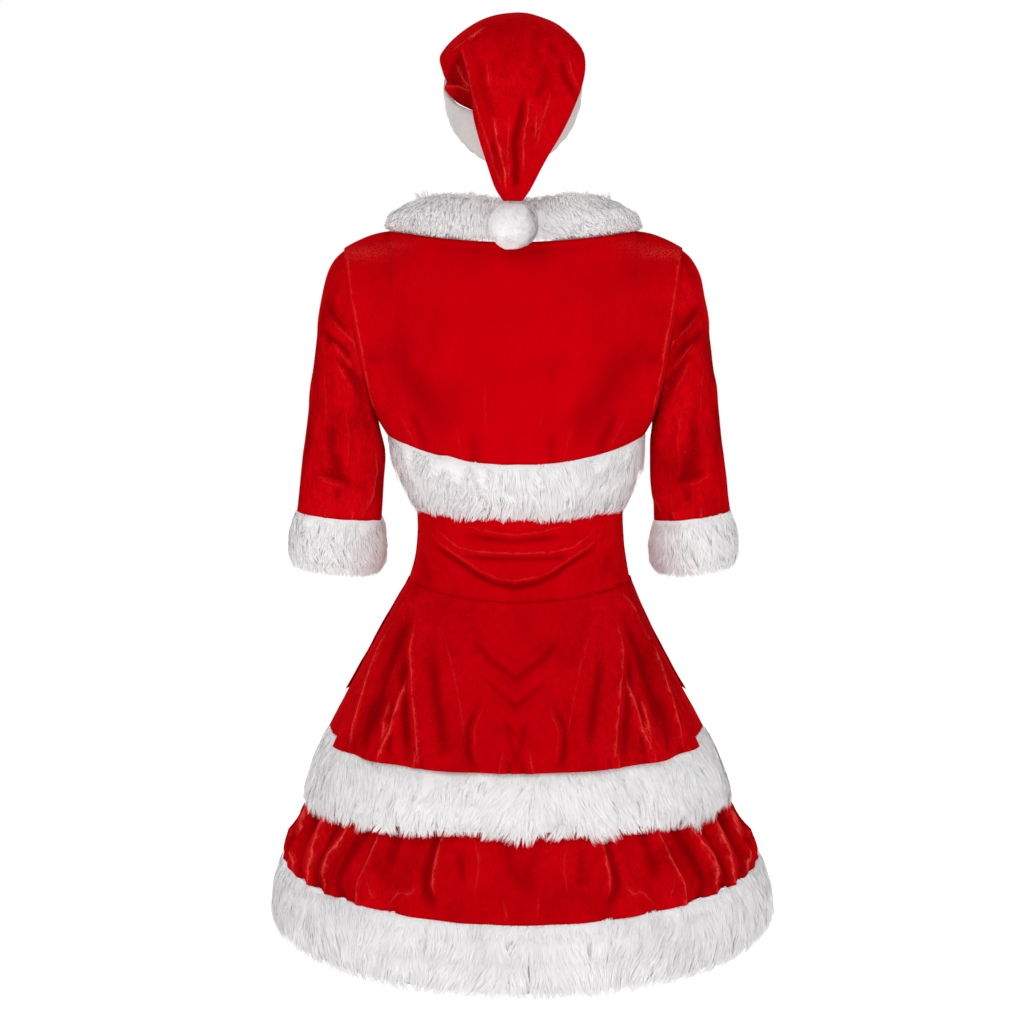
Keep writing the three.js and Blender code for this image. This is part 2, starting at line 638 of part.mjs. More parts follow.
function boleroBack() {
  const half = boleroColumns(7);
  const columns = [...half.slice().reverse(), ...half.slice(1).map((share) => -share)];
  const grid = makeGrid(BOLERO_ROWS, columns, (rise, across) => boleroPoint(across, rise, 1));
  return velvetWall(grid, false, boleroTrim('back'));
}

function boleroFront(side) {
  const inset = FRONT_OPENING / 2 / SHOULDER_POINT.x;
  const half = [inset, ...boleroColumns(6).slice(1)];
  const columns = side > 0 ? half : half.map((share) => -share).reverse();
  const grid = makeGrid(BOLERO_ROWS, columns, (rise, across) => boleroPoint(across, rise, -1));
  return velvetWall(grid, false, boleroTrim('front'));
}

function hemFur() {
  const opening = FRONT_OPENING / 2 / BOLERO_HEM.x * 180 / Math.PI;
  const angles = steps(-90 + opening, 270 - opening, 36);
  const rows = [0, 0.2, 0.55, 1];
  const face = (depth) => makeGrid(rows, angles, (rise, angle) => {
    const { side, back, front, thick } = rowAt(HEM_FUR, 'fall', 1 - rise);
    const inset = depth * thick;
    const z = mix(edgeZ(HEM_FUR_LOW, angle), edgeZ(HEM_FUR_TOP, angle) - SEAM_GAP, rise);
    return ovalPoint({ side: side - inset, back: back - inset, front: front - inset }, angle, z);
  });
  return shell(face(0), face(1));
}

// Collar: a rounded fur band that stands on the neckline and leans in over it.
function collarFur() {
  const lastAngle = 90 - COLLAR[0].fromSide;
  const stations = steps(90 - lastAngle, 90 + lastAngle, COLLAR_STATIONS);
  const rings = stations.map((angle) => {
    const around = angle > 90 ? 180 - angle : angle;
    const size = rowAt(COLLAR, 'fromSide', around);
    const s = Math.sin(radians(angle));
    const neckZ = mix(NECK.sideZ, s > 0 ? NECK.backZ : NECK.frontZ, s * s) + COLLAR_SEAT;
    const neck = ovalPoint(NECK, angle, neckZ, 2);
    const out = new THREE.Vector3(neck.x / NECK.side ** 2, neck.y / NECK.back ** 2, 0).normalize();
    return steps(0, 360, COLLAR_SIDES).slice(0, -1).map((turn) => {
      const up = size.height * (1 - Math.cos(radians(turn))) / 2;
      const aside = size.thick / 2 * Math.sin(radians(turn)) - size.lean * (up / size.height) ** 2;
      return neck.clone().addScaledVector(out, aside).setZ(neck.z + up);
    });
  });
  return cappedTube(rings);
}

// A solid rod through rings of points, closed by a fan at each end.
function cappedTube(rings) {
  const sides = rings[0].length;
  const vertices = rings.flat();
  const triangles = [];
  for (let i = 0; i < rings.length - 1; i += 1) {
    for (let j = 0; j < sides; j += 1) {
      const a = i * sides + j;
      const b = i * sides + (j + 1) % sides;
      triangles.push([a, b, b + sides], [a, b + sides, a + sides]);
    }
  }
  const last = (rings.length - 1) * sides;
  for (let j = 1; j < sides - 1; j += 1) {
    triangles.push([0, j + 1, j], [last, last + j, last + j + 1]);
  }
  return closedBody(vertices, triangles);
}

// Sleeves and cuffs
const mirrored = (grid) => grid.map((row) => row.map((p) => new THREE.Vector3(-p.x, p.y, p.z)));

function sleeveGrid() {
  const rings = [0, 0.07, 0.15, 0.24, 0.34, 0.45, 0.56, 0.67, 0.78, 0.89, 1];
  const angles = steps(0, 360, 16).slice(0, -1);
  const plain = makeGrid(rings, angles, (along, angle) => {
    const point = sleeveRing(rowAt(SLEEVE, 'along', along), angle);
    point.x += along === 0 ? SEAM_GAP : 0;
    return point;
  });
  return moved(plain, (i, j) => SLEEVE_FOLDS.reduce((sum, fold) => {
    const turn = (angles[j] - fold.around - fold.lean * rings[i]) / fold.width;
    const strength = fade(rings[i], fold.start, fold.start + 0.25) * (1 - 0.5 * fade(rings[i], 0.8, 1));
    return sum + fold.depth * Math.exp(-turn * turn) * strength;
  }, 0), true);
}

function sleeve(side) {
  const grid = sleeveGrid();
  const trim = (point, i) => {
    if (i === 0) point.x = side * Math.max(side * point.x, armholeX(point.z) + SEAM_GAP);
  };
  return velvetWall(side > 0 ? grid : mirrored(grid), true, trim);
}

function cuffFur(side) {
  const angles = steps(0, 360, 16).slice(0, -1);
  const grid = makeGrid([0, 0.2, 0.6, 1], angles, (rise, angle) => {
    const low = sleeveRing(CUFF_LOW, angle);
    const high = sleeveRing(SLEEVE[SLEEVE.length - 1], angle);
    high.z -= SEAM_GAP;
    return low.lerp(high, rise);
  });
  return furBand(side > 0 ? grid : mirrored(grid), CUFF_FUR, FUR_BACKING, true);
}

// Hat
const hatRing = (ring, degrees) => ringPoint(
  new THREE.Vector3(ring.centre, ring.outY, ring.outZ),
  new THREE.Vector3(ring.centre, ring.inY, ring.inZ),
  new THREE.Vector3(ring.half, 0, 0),
  new THREE.Vector3(0, 0, -ring.sag),
  degrees,
);

const hatAngles = () => steps(-180, 180, HAT_RING_SIDES).slice(0, -1);

function hatCrown() {
  const angles = hatAngles();
  const plain = makeGrid(HAT, angles, hatRing);
  const grid = moved(plain, (i, j) => HAT_FOLDS.reduce((sum, fold) => {
    const turn = (angles[j] - fold.around) / fold.width;
    const { along } = HAT[i];
    const strength = fade(along, fold.from, fold.from + 2) * (1 - fade(along, fold.to - 2, fold.to));
    return sum + fold.depth * Math.exp(-turn * turn) * strength;
  }, 0), true);
  return velvetWall(grid, true);
}

function hatBand() {
  const grid = makeGrid([0, 0.5, 1], hatAngles(), (rise, angle) => {
    const seam = hatRing(HAT[0], angle);
    seam.z -= SEAM_GAP + VELVET_WALL / 2;
    return hatRing(HAT_RIM, angle).lerp(seam, rise);
  });
  return furBand(grid, BAND_PILE, BAND_BACKING, true);
}

function pompom() {
  const ball = new THREE.SphereGeometry(1, POMPOM.columns, POMPOM.rows);
  const rows = [];
  for (let i = 1; i < POMPOM.rows; i += 1) {
    rows.push(Array.from({ length: POMPOM.columns }, (_, j) => {
      const p = new THREE.Vector3().fromBufferAttribute(ball.attributes.position, i * (POMPOM.columns + 1) + j);
      const lump = POMPOM.lump * Math.sin(5 * p.x) * Math.cos(4 * p.z);
      return new THREE.Vector3(
        POMPOM.x + p.x * (POMPOM.wide + lump),
        POMPOM.y + p.z * (POMPOM.deep + lump),
        POMPOM.z + p.y * (POMPOM.high + lump),
      );
    }));
  }
  return cappedTube(rows);
}

// The set
const BACK_ROWS = [...steps(0, 0.36, 11), 0.46, 0.6, 0.8, 1];
const FRONT_ROWS = steps(0, 1, 8);

const costume = new THREE.Group();
costume.add(
  piece('hat_crown', hatCrown(), VELVET),
  piece('hat_band', hatBand(), PLUSH),
  piece('hat_pompom', pompom(), PLUSH),
  piece('bolero_back', boleroBack(), VELVET),
  piece('bolero_front_left', boleroFront(1), VELVET),
  piece('bolero_front_right', boleroFront(-1), VELVET),
  piece('sleeve_left', sleeve(1), VELVET),
  piece('sleeve_right', sleeve(-1), VELVET),
  piece('collar_fur', collarFur(), FUR),
  piece('bolero_hem_fur', hemFur(), FUR),
  piece('cuff_fur_left', cuffFur(1), FUR),
  piece('cuff_fur_right', cuffFur(-1), FUR),
  piece('bodice_back', bodicePanel('back', BACK_ROWS, 18), VELVET),
  piece('bodice_front', bodicePanel('front', FRONT_ROWS, 18), VELVET),
  piece('overskirt_back', overskirtPanel('back', OVERSKIRT_BACK_HEM, OVERSKIRT_BACK_EDGE, 30, 7), VELVET),
  piece('overskirt_front', overskirtPanel('front', OVERSKIRT_FRONT_HEM, OVERSKIRT_FRONT_EDGE, 24, 5), VELVET),
);
for (const facing of ['back', 'front']) {
  costume.add(
    piece(`tier1_${facing}`, tierPanel(facing), VELVET),
    piece(`tier1_fur_${facing}`, skirtFur(facing, TIER1_SEAM, TIER1_FUR_HEM), FUR),
    piece(`tier2_${facing}`, pleatedPanel(facing), VELVET),
    piece(`tier2_fur_${facing}`, skirtFur(facing, TIER2_SEAM, TIER2_FUR_HEM), FUR),
  );
}

export default costume;
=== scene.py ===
import math

import bmesh
import bpy
import numpy as np
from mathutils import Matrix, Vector, kdtree
from mathutils.bvhtree import BVHTree


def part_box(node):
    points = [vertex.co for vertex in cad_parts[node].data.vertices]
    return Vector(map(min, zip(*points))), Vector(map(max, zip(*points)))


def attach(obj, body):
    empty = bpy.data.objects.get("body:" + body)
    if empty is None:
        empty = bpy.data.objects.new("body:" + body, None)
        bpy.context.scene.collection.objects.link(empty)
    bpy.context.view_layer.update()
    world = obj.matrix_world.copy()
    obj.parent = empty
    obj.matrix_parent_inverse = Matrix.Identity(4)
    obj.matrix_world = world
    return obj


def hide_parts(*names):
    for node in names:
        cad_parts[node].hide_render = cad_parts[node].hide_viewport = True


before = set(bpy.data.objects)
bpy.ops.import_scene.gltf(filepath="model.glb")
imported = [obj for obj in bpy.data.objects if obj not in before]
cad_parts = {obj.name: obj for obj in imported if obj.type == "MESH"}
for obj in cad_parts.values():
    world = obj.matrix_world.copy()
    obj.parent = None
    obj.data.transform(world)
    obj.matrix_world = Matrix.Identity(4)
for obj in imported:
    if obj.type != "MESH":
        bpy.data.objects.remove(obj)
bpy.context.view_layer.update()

MM = 0.001
BODY = "root"
SLEEVES = [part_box(f"sleeve_{side}") for side in ("left", "right")]
ARMS_MIDDLE = (SLEEVES[0][1].x + SLEEVES[1][0].x) / 2

# Camera, floor and lights
EYE = Vector((0, 2.2, -0.058))
AIM = Vector((0, 0, -0.3065))
LENS = 66.5
SENSOR = 36
PICTURE = 1024
CENTRE_COLUMN = 517
FLOOR_HEIGHT = -1.38
FLOOR_REACH = 9
STUDIO_LIGHTS = [
    {"name": "key_light", "place": (1.3, 2.9, 1.5), "aim": (0, 0, -0.3), "size": 1.8, "watts": 40},
    {"name": "fill_light", "place": (-1.9, 2.5, 0.5), "aim": (0, 0, -0.35), "size": 2.2, "watts": 20},
    {"name": "front_light", "place": (0.8, -2.8, 1.4), "aim": (0, 0, -0.3), "size": 2.2, "watts": 45},
]
BACKDROP_LIGHT = 0.5
FLOOR_GLOW = 0.68

# Colours, as shares of full light
VELVET_DEEP = (0.36, 0.0, 0.002)
VELVET_RED = (0.5, 0.0, 0.003)
VELVET_BRIGHT = (0.57, 0.001, 0.005)
VELVET_SHADOW = (0.17, 0.0, 0.001)
# The painted highlight colour on the crests, the crushed nap and the highlight patches
VELVET_SHEEN_FLECK = (0.78, 0.055, 0.045)
FUR_SHADE = (0.74, 0.73, 0.73)
FUR_LIGHT = (0.82, 0.81, 0.81)
FUR_TIP = (0.9, 0.89, 0.89)
FUR_SCATTER = 0.045
PLUSH_SHADE = (0.49, 0.46, 0.45)
PLUSH_LIGHT = (0.59, 0.555, 0.54)
PLUSH_TIP = (0.67, 0.63, 0.62)

# Copies of the panels: corners this near are one, faces this flat and square are joined, and edges this sharp
# stay sharp
WELD = 0.00001
QUAD_BEND = math.radians(45)
QUAD_SHEAR = math.radians(60)
RIM_ANGLE = math.radians(62)

# Side seams: points this near to the seam's plane are put this close to it
SEAM_REACH = 0.0009
SEAM_GAP = 0.00002

# Crests of folds, in mm: how far their painted highlight line, the painted highlight specks beside it and its
# mark reach
CREST_LINE = 0.95
CREST_HALO = 3.6
CREST_REACH = 3.6

# Relief, in mm: how uneven flat cloth is, and the depth of fold whose painted shade is darkest
UNEVENNESS = 0.35
FULL_FOLD = 2.4
UNEVEN_SIZE = 0.045

# A skirt's top edge, lifted over its seam, and the free lower corners of the back overskirt, drawn in
WELT = {"height": 0.006, "out": 0.0006, "up": 0.0012, "step": 3}
TUCK = {"aside": 0.14, "over": 0.07, "below": -0.46, "drop": 0.1}

# Sleeves: the arm's middle line, how deeply they crease, and the armhole's distance, lean, drop and calm edge
ARM_AXIS = 0.205
SLEEVE_CREASING = 1.3
SLEEVE_TURN = 0.03
ARMHOLE_BACK = 0.177
ARMHOLE_LEAN = 0.017
ARMHOLE_DROP = 0.199
ARMHOLE_CALM = 0.02

# Hat: the crown's middle and height, how little its folds push sideways, and where its back begins
HAT_MIDDLE = 0.004
HAT_CROWN = 0.2
HAT_SIDEWAYS = 0.6
HAT_BACK = -0.03
HAT_TURN = 0.05

# Folds pressed into the cloth. A path is (aside, height) in mm: aside from the garment's middle line, the
# same on both sides, or on the hat from its own middle towards the wearer's left. A path that runs past the
# middle meets its own other half there.
def fold(depth, width, path, shine=0.0, fade=0.3):
    """Depth is positive for a ridge, width half its breadth, shine how bright the painted highlight along its
    crest is, and fade the share of its length over which an end dies out."""
    return {"depth": depth, "width": width, "path": path, "shine": shine, "fade": fade}


BOLERO_BACK_FOLDS = [
    fold(-1.5, 20, [(154, -92), (126, -130), (101, -165), (80, -200), (72, -236)]),
    fold(-0.7, 4, [(112, 6), (66, -3), (0, -8), (-40, -8)]),
    fold(1.1, 2.6, [(31, -150), (32, -180), (29, -208)], 0.1),
    fold(1.5, 3.6, [(65, -198), (55, -244)], 0.1),
    fold(1.3, 3.6, [(129, -186), (107, -228)], 0.15),
    fold(-1.4, 5, [(118, -180), (94, -236)]),
    fold(-1.2, 5, [(44, -204), (42, -247)]),
    fold(0.9, 4, [(14, -208), (12, -248)]),
    fold(1.0, 5, [(182, -40), (152, -66)]),
    fold(1.0, 5, [(178, -84), (148, -104)]),
    fold(-1.0, 4, [(172, -116), (150, -132)]),
    fold(0.5, 1.6, [(190.5, 0), (158, -194)], 0.4, 0.08),
]
BOLERO_FRONT_FOLDS = [
    fold(1.8, 9, [(150, -60), (118, -105), (88, -140)]),
    fold(-2.2, 10, [(165, -95), (130, -140), (100, -165)]),
    fold(1.6, 5, [(70, -190), (64, -232)], 0.4),
    fold(-1.4, 5, [(44, -196), (38, -231)]),
    fold(-1.8, 8, [(108, -185), (98, -228)]),
    fold(1.2, 6, [(126, 2), (104, -30), (92, -66)], 0.3),
    fold(1.0, 6, [(22, -120), (12, -160)]),
    fold(0.5, 1.6, [(190.5, 0), (158, -194)], 0.4, 0.08),
]
SLEEVE_BACK_FOLDS = [
    fold(-2.6, 4, [(213, -58), (202, -80), (185, -95), (179, -113)]),
    fold(2.0, 4, [(209, -77), (198, -91), (182, -106), (175, -121)], 0.25),
    fold(-2.8, 4, [(218, -87), (210, -101), (192, -114), (174, -132)]),
    fold(2.2, 4, [(208, -105), (195, -120), (178, -140)], 0.2),
    fold(-2.2, 5, [(207, -114), (192, -130), (176, -154), (166, -173)]),
    fold(1.6, 4, [(201, -129), (184, -163)], 0.2),
    fold(-2.8, 6, [(177, -126), (168, -166), (160, -205), (157, -242)]),
    fold(-1.6, 7, [(206, -188), (208, -229), (204, -270)]),
    fold(2.2, 3.4, [(158, -226), (158, -256), (164, -285), (176, -312)], 0.45),
    fold(-3.2, 7, [(184, -112), (172, -156), (163, -192), (158, -226)]),
    fold(1.6, 4, [(192, -180), (188, -215), (190, -252)], 0.12),
    fold(-1.8, 4, [(226, -246), (214, -258), (194, -262), (180, -272)]),
    fold(1.6, 4, [(228, -256), (212, -268), (190, -272)], 0.15),
    fold(-1.8, 6, [(234, -168), (238, -205), (240, -242)]),
    fold(-2.0, 6, [(226, -84), (229, -120), (231, -162)]),
    fold(1.6, 5, [(216, -128), (213, -170), (214, -206)], 0.1),
    fold(-1.6, 5, [(200, -226), (198, -262), (204, -300)]),
    fold(1.6, 6, [(222, -238), (226, -287)]),
    fold(1.0, 2.5, [(215, -298), (216, -313)], 0.4),
    fold(1.0, 2.5, [(184, -300), (186, -313)], 0.4),
]
SLEEVE_FRONT_FOLDS = [
    fold(2.4, 6, [(207, -70), (188, -96), (178, -126)], 0.2),
    fold(-2.8, 6, [(214, -104), (190, -130), (170, -160)]),
    fold(2.6, 6, [(218, -150), (196, -176), (166, -196)], 0.3),
    fold(-2.8, 6, [(222, -196), (196, -216), (166, -226)]),
    fold(2.0, 5, [(226, -232), (200, -250), (170, -258)], 0.2),
    fold(-1.8, 6, [(236, -250), (232, -296)]),
]
BODICE_BACK_FOLDS = [
    fold(1.6, 2.8, [(68, -309), (59, -313), (27, -320), (0, -323), (-60, -323)], 0.2),
    fold(-1.9, 2.8, [(68, -320), (61, -323), (27, -328), (0, -330), (-60, -330)]),
    fold(1.6, 2.6, [(100, -312), (90, -320), (66, -338), (40, -343), (0, -344), (-60, -344)], 0.35),
    fold(-1.9, 2.8, [(80, -345), (66, -348), (37, -350), (0, -350), (-60, -350)]),
    fold(2.1, 3.2, [(108, -310), (102, -318), (88, -335), (62, -350), (42, -363), (23, -371),
                    (0, -375), (-60, -375)], 0.2),
    fold(-2.8, 3.2, [(108, -318), (100, -328), (86, -343), (60, -358), (42, -370), (23, -378),
                     (0, -382), (-60, -382)]),
    fold(1.0, 3, [(82, -352), (62, -372), (38, -384)]),
    fold(-1.2, 5, [(112, -340), (104, -365), (98, -390)]),
    fold(1.4, 5, [(108, -288), (80, -299), (40, -305), (0, -307), (-60, -307)]),
]
BODICE_FRONT_FOLDS = [
    fold(1.6, 5, [(112, -300), (70, -318), (0, -326), (-60, -326)]),
    fold(-1.6, 5, [(114, -330), (70, -348), (0, -354), (-60, -354)]),
    fold(1.4, 5, [(112, -352), (60, -372), (0, -378), (-60, -378)], 0.3),
    fold(-1.2, 6, [(100, -215), (84, -250), (78, -290)]),
]
OVERSKIRT_FOLDS = [
    fold(2.2, 3.6, [(120, -390), (140, -420), (152, -445), (163, -470), (174, -500), (189, -540),
                    (196, -568)], 0.8, 0.15),
    fold(-2.6, 6, [(114, -400), (132, -440), (145, -475), (158, -520), (168, -560)]),
    fold(3.0, 3.6, [(114, -418), (119, -452), (117, -471), (114, -500), (110, -530),
                    (106, -574)], 0.6, 0.2),
    fold(-3.2, 4.6, [(124, -440), (129, -480), (124, -520), (118, -574)]),
    fold(2.6, 3, [(124, -480), (136, -521), (146, -548), (153, -570)], 0.9, 0.2),
    fold(2.0, 2.8, [(141, -503), (147, -528), (149, -550), (157, -571)], 0.7, 0.2),
    fold(-2.8, 3.6, [(134, -490), (142, -520), (141, -545), (143, -572)]),
    fold(-2.2, 5, [(160, -500), (170, -530), (176, -569)]),
    fold(1.8, 5, [(88, -418), (77, -446), (68, -475), (61, -506), (55, -546)], 0.15),
    fold(-2.3, 6, [(98, -438), (92, -480), (84, -520), (78, -562)]),
    fold(-1.7, 4.5, [(56, -430), (28, -458), (0, -476), (-30, -494)]),
    fold(1.3, 5, [(64, -430), (40, -466), (0, -491), (-30, -508)]),
    fold(-1.5, 4, [(44, -462), (24, -485), (0, -504), (-30, -526)]),
    fold(-1.0, 2.6, [(20, -506), (8, -520), (0, -530), (-16, -546)]),
    fold(1.0, 2.4, [(34, -480), (14, -500), (0, -512), (-20, -528)]),
    fold(-0.9, 2.6, [(36, -436), (16, -450), (0, -458), (-20, -468)]),
    fold(1.5, 5, [(52, -466), (30, -496), (0, -520), (-30, -544)]),
    fold(-2.6, 4, [(40, -500), (54, -526), (53, -548), (45, -574)]),
    fold(2.0, 3.6, [(34, -498), (46, -528), (43, -562)], 0.15),
    fold(-1.5, 3, [(14, -508), (8, -530), (0, -558), (-10, -575)]),
    fold(1.7, 2.6, [(14, -546), (20, -577)], 0.3),
    fold(-2.0, 2.4, [(7, -554), (8, -578)]),
    fold(1.8, 2.4, [(110, -550), (113, -576)], 0.5),
    fold(-1.8, 2.4, [(102, -552), (105, -576)]),
]
OVERSKIRT_FRONT_FOLDS = [
    fold(2.2, 4, [(120, -388), (152, -440), (174, -496), (182, -520)], 0.7, 0.2),
    fold(3.0, 5, [(108, -430), (116, -480), (122, -524)], 0.6),
    fold(-2.8, 5, [(122, -436), (132, -480), (136, -524)]),
    fold(2.2, 7, [(60, -420), (66, -470), (62, -524)], 0.3),
    fold(-2.0, 6, [(42, -440), (40, -480), (46, -524)]),
    fold(-2.2, 6, [(84, -450), (90, -490), (88, -524)]),
    fold(1.8, 6, [(16, -450), (12, -524)]),
]
TIER_FOLDS = [
    fold(2.6, 2.6, [(240, -606), (256, -661), (263, -675), (268, -694)], 0.8, 0.05),
    fold(-2.6, 3, [(232, -606), (250, -660), (256, -676), (264, -700)], 0.0, 0.05),
    fold(3.0, 2.8, [(224, -600), (243, -652), (248, -665), (256, -686), (259, -714)], 1.0, 0.05),
    fold(-3.2, 3.6, [(212, -598), (231, -652), (239, -676), (247, -698), (249, -718)], 0.0, 0.05),
    fold(3.8, 3.2, [(198, -590), (217, -644), (224, -664), (230, -680), (238, -702),
                    (240, -724)], 1.0, 0.04),
    fold(-3.8, 4.2, [(186, -594), (204, -648), (216, -676), (227, -700), (228, -724)], 0.0, 0.05),
    fold(4.0, 3.4, [(168, -592), (188, -641), (199, -660), (210, -678), (217, -697),
                    (216, -726)], 1.0, 0.04),
    fold(-3.6, 4.4, [(156, -600), (173, -646), (188, -674), (200, -700), (199, -726)], 0.0, 0.05),
    fold(3.2, 3.4, [(140, -604), (154, -646), (163, -664), (171, -681), (180, -698),
                    (180, -726)], 0.9, 0.05),
    fold(-2.2, 5, [(124, -606), (138, -650), (150, -690)], 0.0, 0.2),
    fold(-3.8, 3.8, [(86, -612), (95, -650), (100, -668), (103, -682), (103, -696), (92, -716)], 0.0, 0.15),
    fold(2.6, 3, [(80, -614), (90, -650), (95, -668), (97, -684), (96, -700)], 0.7, 0.15),
    fold(1.7, 2.8, [(146, -713), (134, -700), (119, -700), (110, -690)], 0.5),
    fold(1.4, 2.4, [(166, -690), (160, -712)], 0.4),
    fold(1.5, 4, [(53, -640), (46, -664), (50, -700)], 0.25),
    fold(-1.6, 5, [(70, -648), (62, -692)]),
    fold(1.4, 3, [(20, -690), (16, -724)], 0.2),
    fold(-1.2, 7, [(24, -640), (10, -670), (0, -684), (-20, -700)]),
]
HAT_FOLDS = [
    fold(3.0, 3, [(63, 218), (58, 206), (54, 190), (49, 164), (43, 145), (33, 115), (17, 60)], 0.25, 0.1),
    fold(-6.0, 7.5, [(72, 210), (65, 190), (59, 166), (52, 140)], 0.0, 0.2),
    fold(-2.6, 4, [(66, 214), (60, 196), (54, 174), (47, 146)], 0.0, 0.2),
    fold(2.2, 2.4, [(26, 138), (21, 111), (14, 85), (12, 56)], 0.9, 0.2),
    fold(-2.4, 2.8, [(30, 120), (24, 95), (18, 58)]),
    fold(-3.8, 3.2, [(-8, 164), (-3, 131), (3, 108), (1, 85), (1, 52)], 0.0, 0.2),
    fold(2.4, 3, [(-13, 162), (-12, 139), (-7, 112), (-7, 72)], 0.5),
    fold(2.0, 2.8, [(8, 142), (10, 100), (8, 58)], 0.2),
    fold(1.6, 5, [(-25, 205), (-23, 185), (-13, 155)]),
    fold(-1.6, 4, [(-31, 202), (-30, 180), (-20, 150)]),
    fold(1.2, 4, [(32, 198), (30, 168)], 0.5),
    fold(-1.7, 5, [(43, 203), (34, 162), (22, 129)]),
    fold(1.4, 4, [(-21, 144), (-19, 110)], 0.4),
    fold(1.9, 5, [(-38, 167), (-28, 138), (-20, 100)], 0.2),
    fold(-2.6, 4, [(-46, 204), (-50, 185), (-64, 155)]),
    fold(1.5, 4, [(-54, 206), (-58, 185), (-69, 160)], 0.2),
    fold(-1.4, 4, [(-35, 224), (-38, 210), (-48, 202)]),
    fold(2.4, 2.8, [(70, 202), (62, 184), (51, 171)], 0.8),
    fold(2.2, 3, [(86, 180), (66, 176), (49, 167)], 0.4),
    fold(-4.0, 4, [(92, 190), (78, 187), (62, 177)]),
    fold(3.4, 10, [(92, 212), (80, 208), (66, 214)]),
    fold(2.6, 5, [(92, 176), (80, 172)]),
    fold(-2.0, 3, [(84, 170), (60, 160), (46, 156)]),
    fold(1.6, 2.8, [(32, 239), (46, 229), (58, 217)], 0.9),
    fold(1.8, 3, [(45, 227), (59, 217), (71, 211)], 0.5),
    fold(-1.6, 3, [(39, 229), (54, 218)]),
]

# Each cloth panel: how crushed its nap is at its middle and its sides, which also weights its painted
# highlight specks, how many rounds of smoothing it gets, and the half width and half depth of the oval that
# its folds push out from. Its list of patches, in mm, gives painted highlights on the nap, and `flat` and
# `area` are the cut of what shows.
VELVET_PANELS = [
    {"piece": "bolero_back_velvet", "node": "bolero_back", "folds": BOLERO_BACK_FOLDS,
     "crush_and_sheen": (0.08, 0.4), "rounds": 2, "reach": (0.19, 0.1),
     # Painted highlight patches on the nap along the shoulder seam
     "sheen_patches": [{"across": 172, "height": -6, "wide": 30, "tall": 7, "amount": 1.25},
              {"across": 140, "height": 2, "wide": 22, "tall": 4, "amount": 0.7}],
     "flat": (0.42, 0.27), "area": 0.098, "held": "draped", "rests_on": []},
    *({"piece": f"bolero_front_{side}_velvet", "node": f"bolero_front_{side}", "folds": BOLERO_FRONT_FOLDS,
       "crush_and_sheen": (0.2, 0.4), "rounds": 2, "reach": (0.19, 0.12),
       "flat": (0.23, 0.27), "area": 0.046, "held": "draped", "rests_on": []} for side in ("left", "right")),
    {"piece": "bodice_back_velvet", "node": "bodice_back", "folds": BODICE_BACK_FOLDS,
     "crush_and_sheen": (0.35, 0.5), "rounds": 3, "reach": (0.12, 0.085),
     "flat": (0.33, 0.27), "area": 0.082, "held": "stretched", "rests_on": []},
    {"piece": "bodice_front_velvet", "node": "bodice_front", "folds": BODICE_FRONT_FOLDS,
     "crush_and_sheen": (0.3, 0.5), "rounds": 2, "reach": (0.12, 0.1),
     "flat": (0.36, 0.3), "area": 0.093, "held": "stretched", "rests_on": []},
    {"piece": "overskirt_back_velvet", "node": "overskirt_back", "folds": OVERSKIRT_FOLDS,
     "crush_and_sheen": (0.35, 1.0), "rounds": 3, "reach": (0.18, 0.15), "welt": True, "tucked": 0.007,
     "flat": (0.56, 0.2), "area": 0.083, "held": "hung", "rests_on": ["bodice_back_velvet"]},
    {"piece": "overskirt_front_velvet", "node": "overskirt_front", "folds": OVERSKIRT_FRONT_FOLDS,
     "crush_and_sheen": (0.35, 1.0), "rounds": 2, "reach": (0.18, 0.15), "welt": True,
     "flat": (0.54, 0.16), "area": 0.068, "held": "hung", "rests_on": ["bodice_front_velvet"]},
    *({"piece": f"first_tier_{face}_velvet", "node": f"tier1_{face}", "folds": [],
       "crush_and_sheen": (0.6, 0.8), "rounds": 2, "reach": (0.18, 0.15),
       "flat": (0.64, 0.2), "area": 0.097, "held": "hung", "rests_on": [f"bodice_{face}_velvet"]}
      for face in ("back", "front")),
    *({"piece": f"second_tier_{face}_velvet", "node": f"tier2_{face}", "folds": TIER_FOLDS,
       "crush_and_sheen": (0.5, 1.0), "rounds": 2, "reach": (0.27, 0.23),
       "flat": (0.9, 0.18), "area": area, "held": "gathered", "rests_on": [f"first_tier_{face}_velvet"]}
      for face, area in (("back", 0.127), ("front", 0.126))),
]

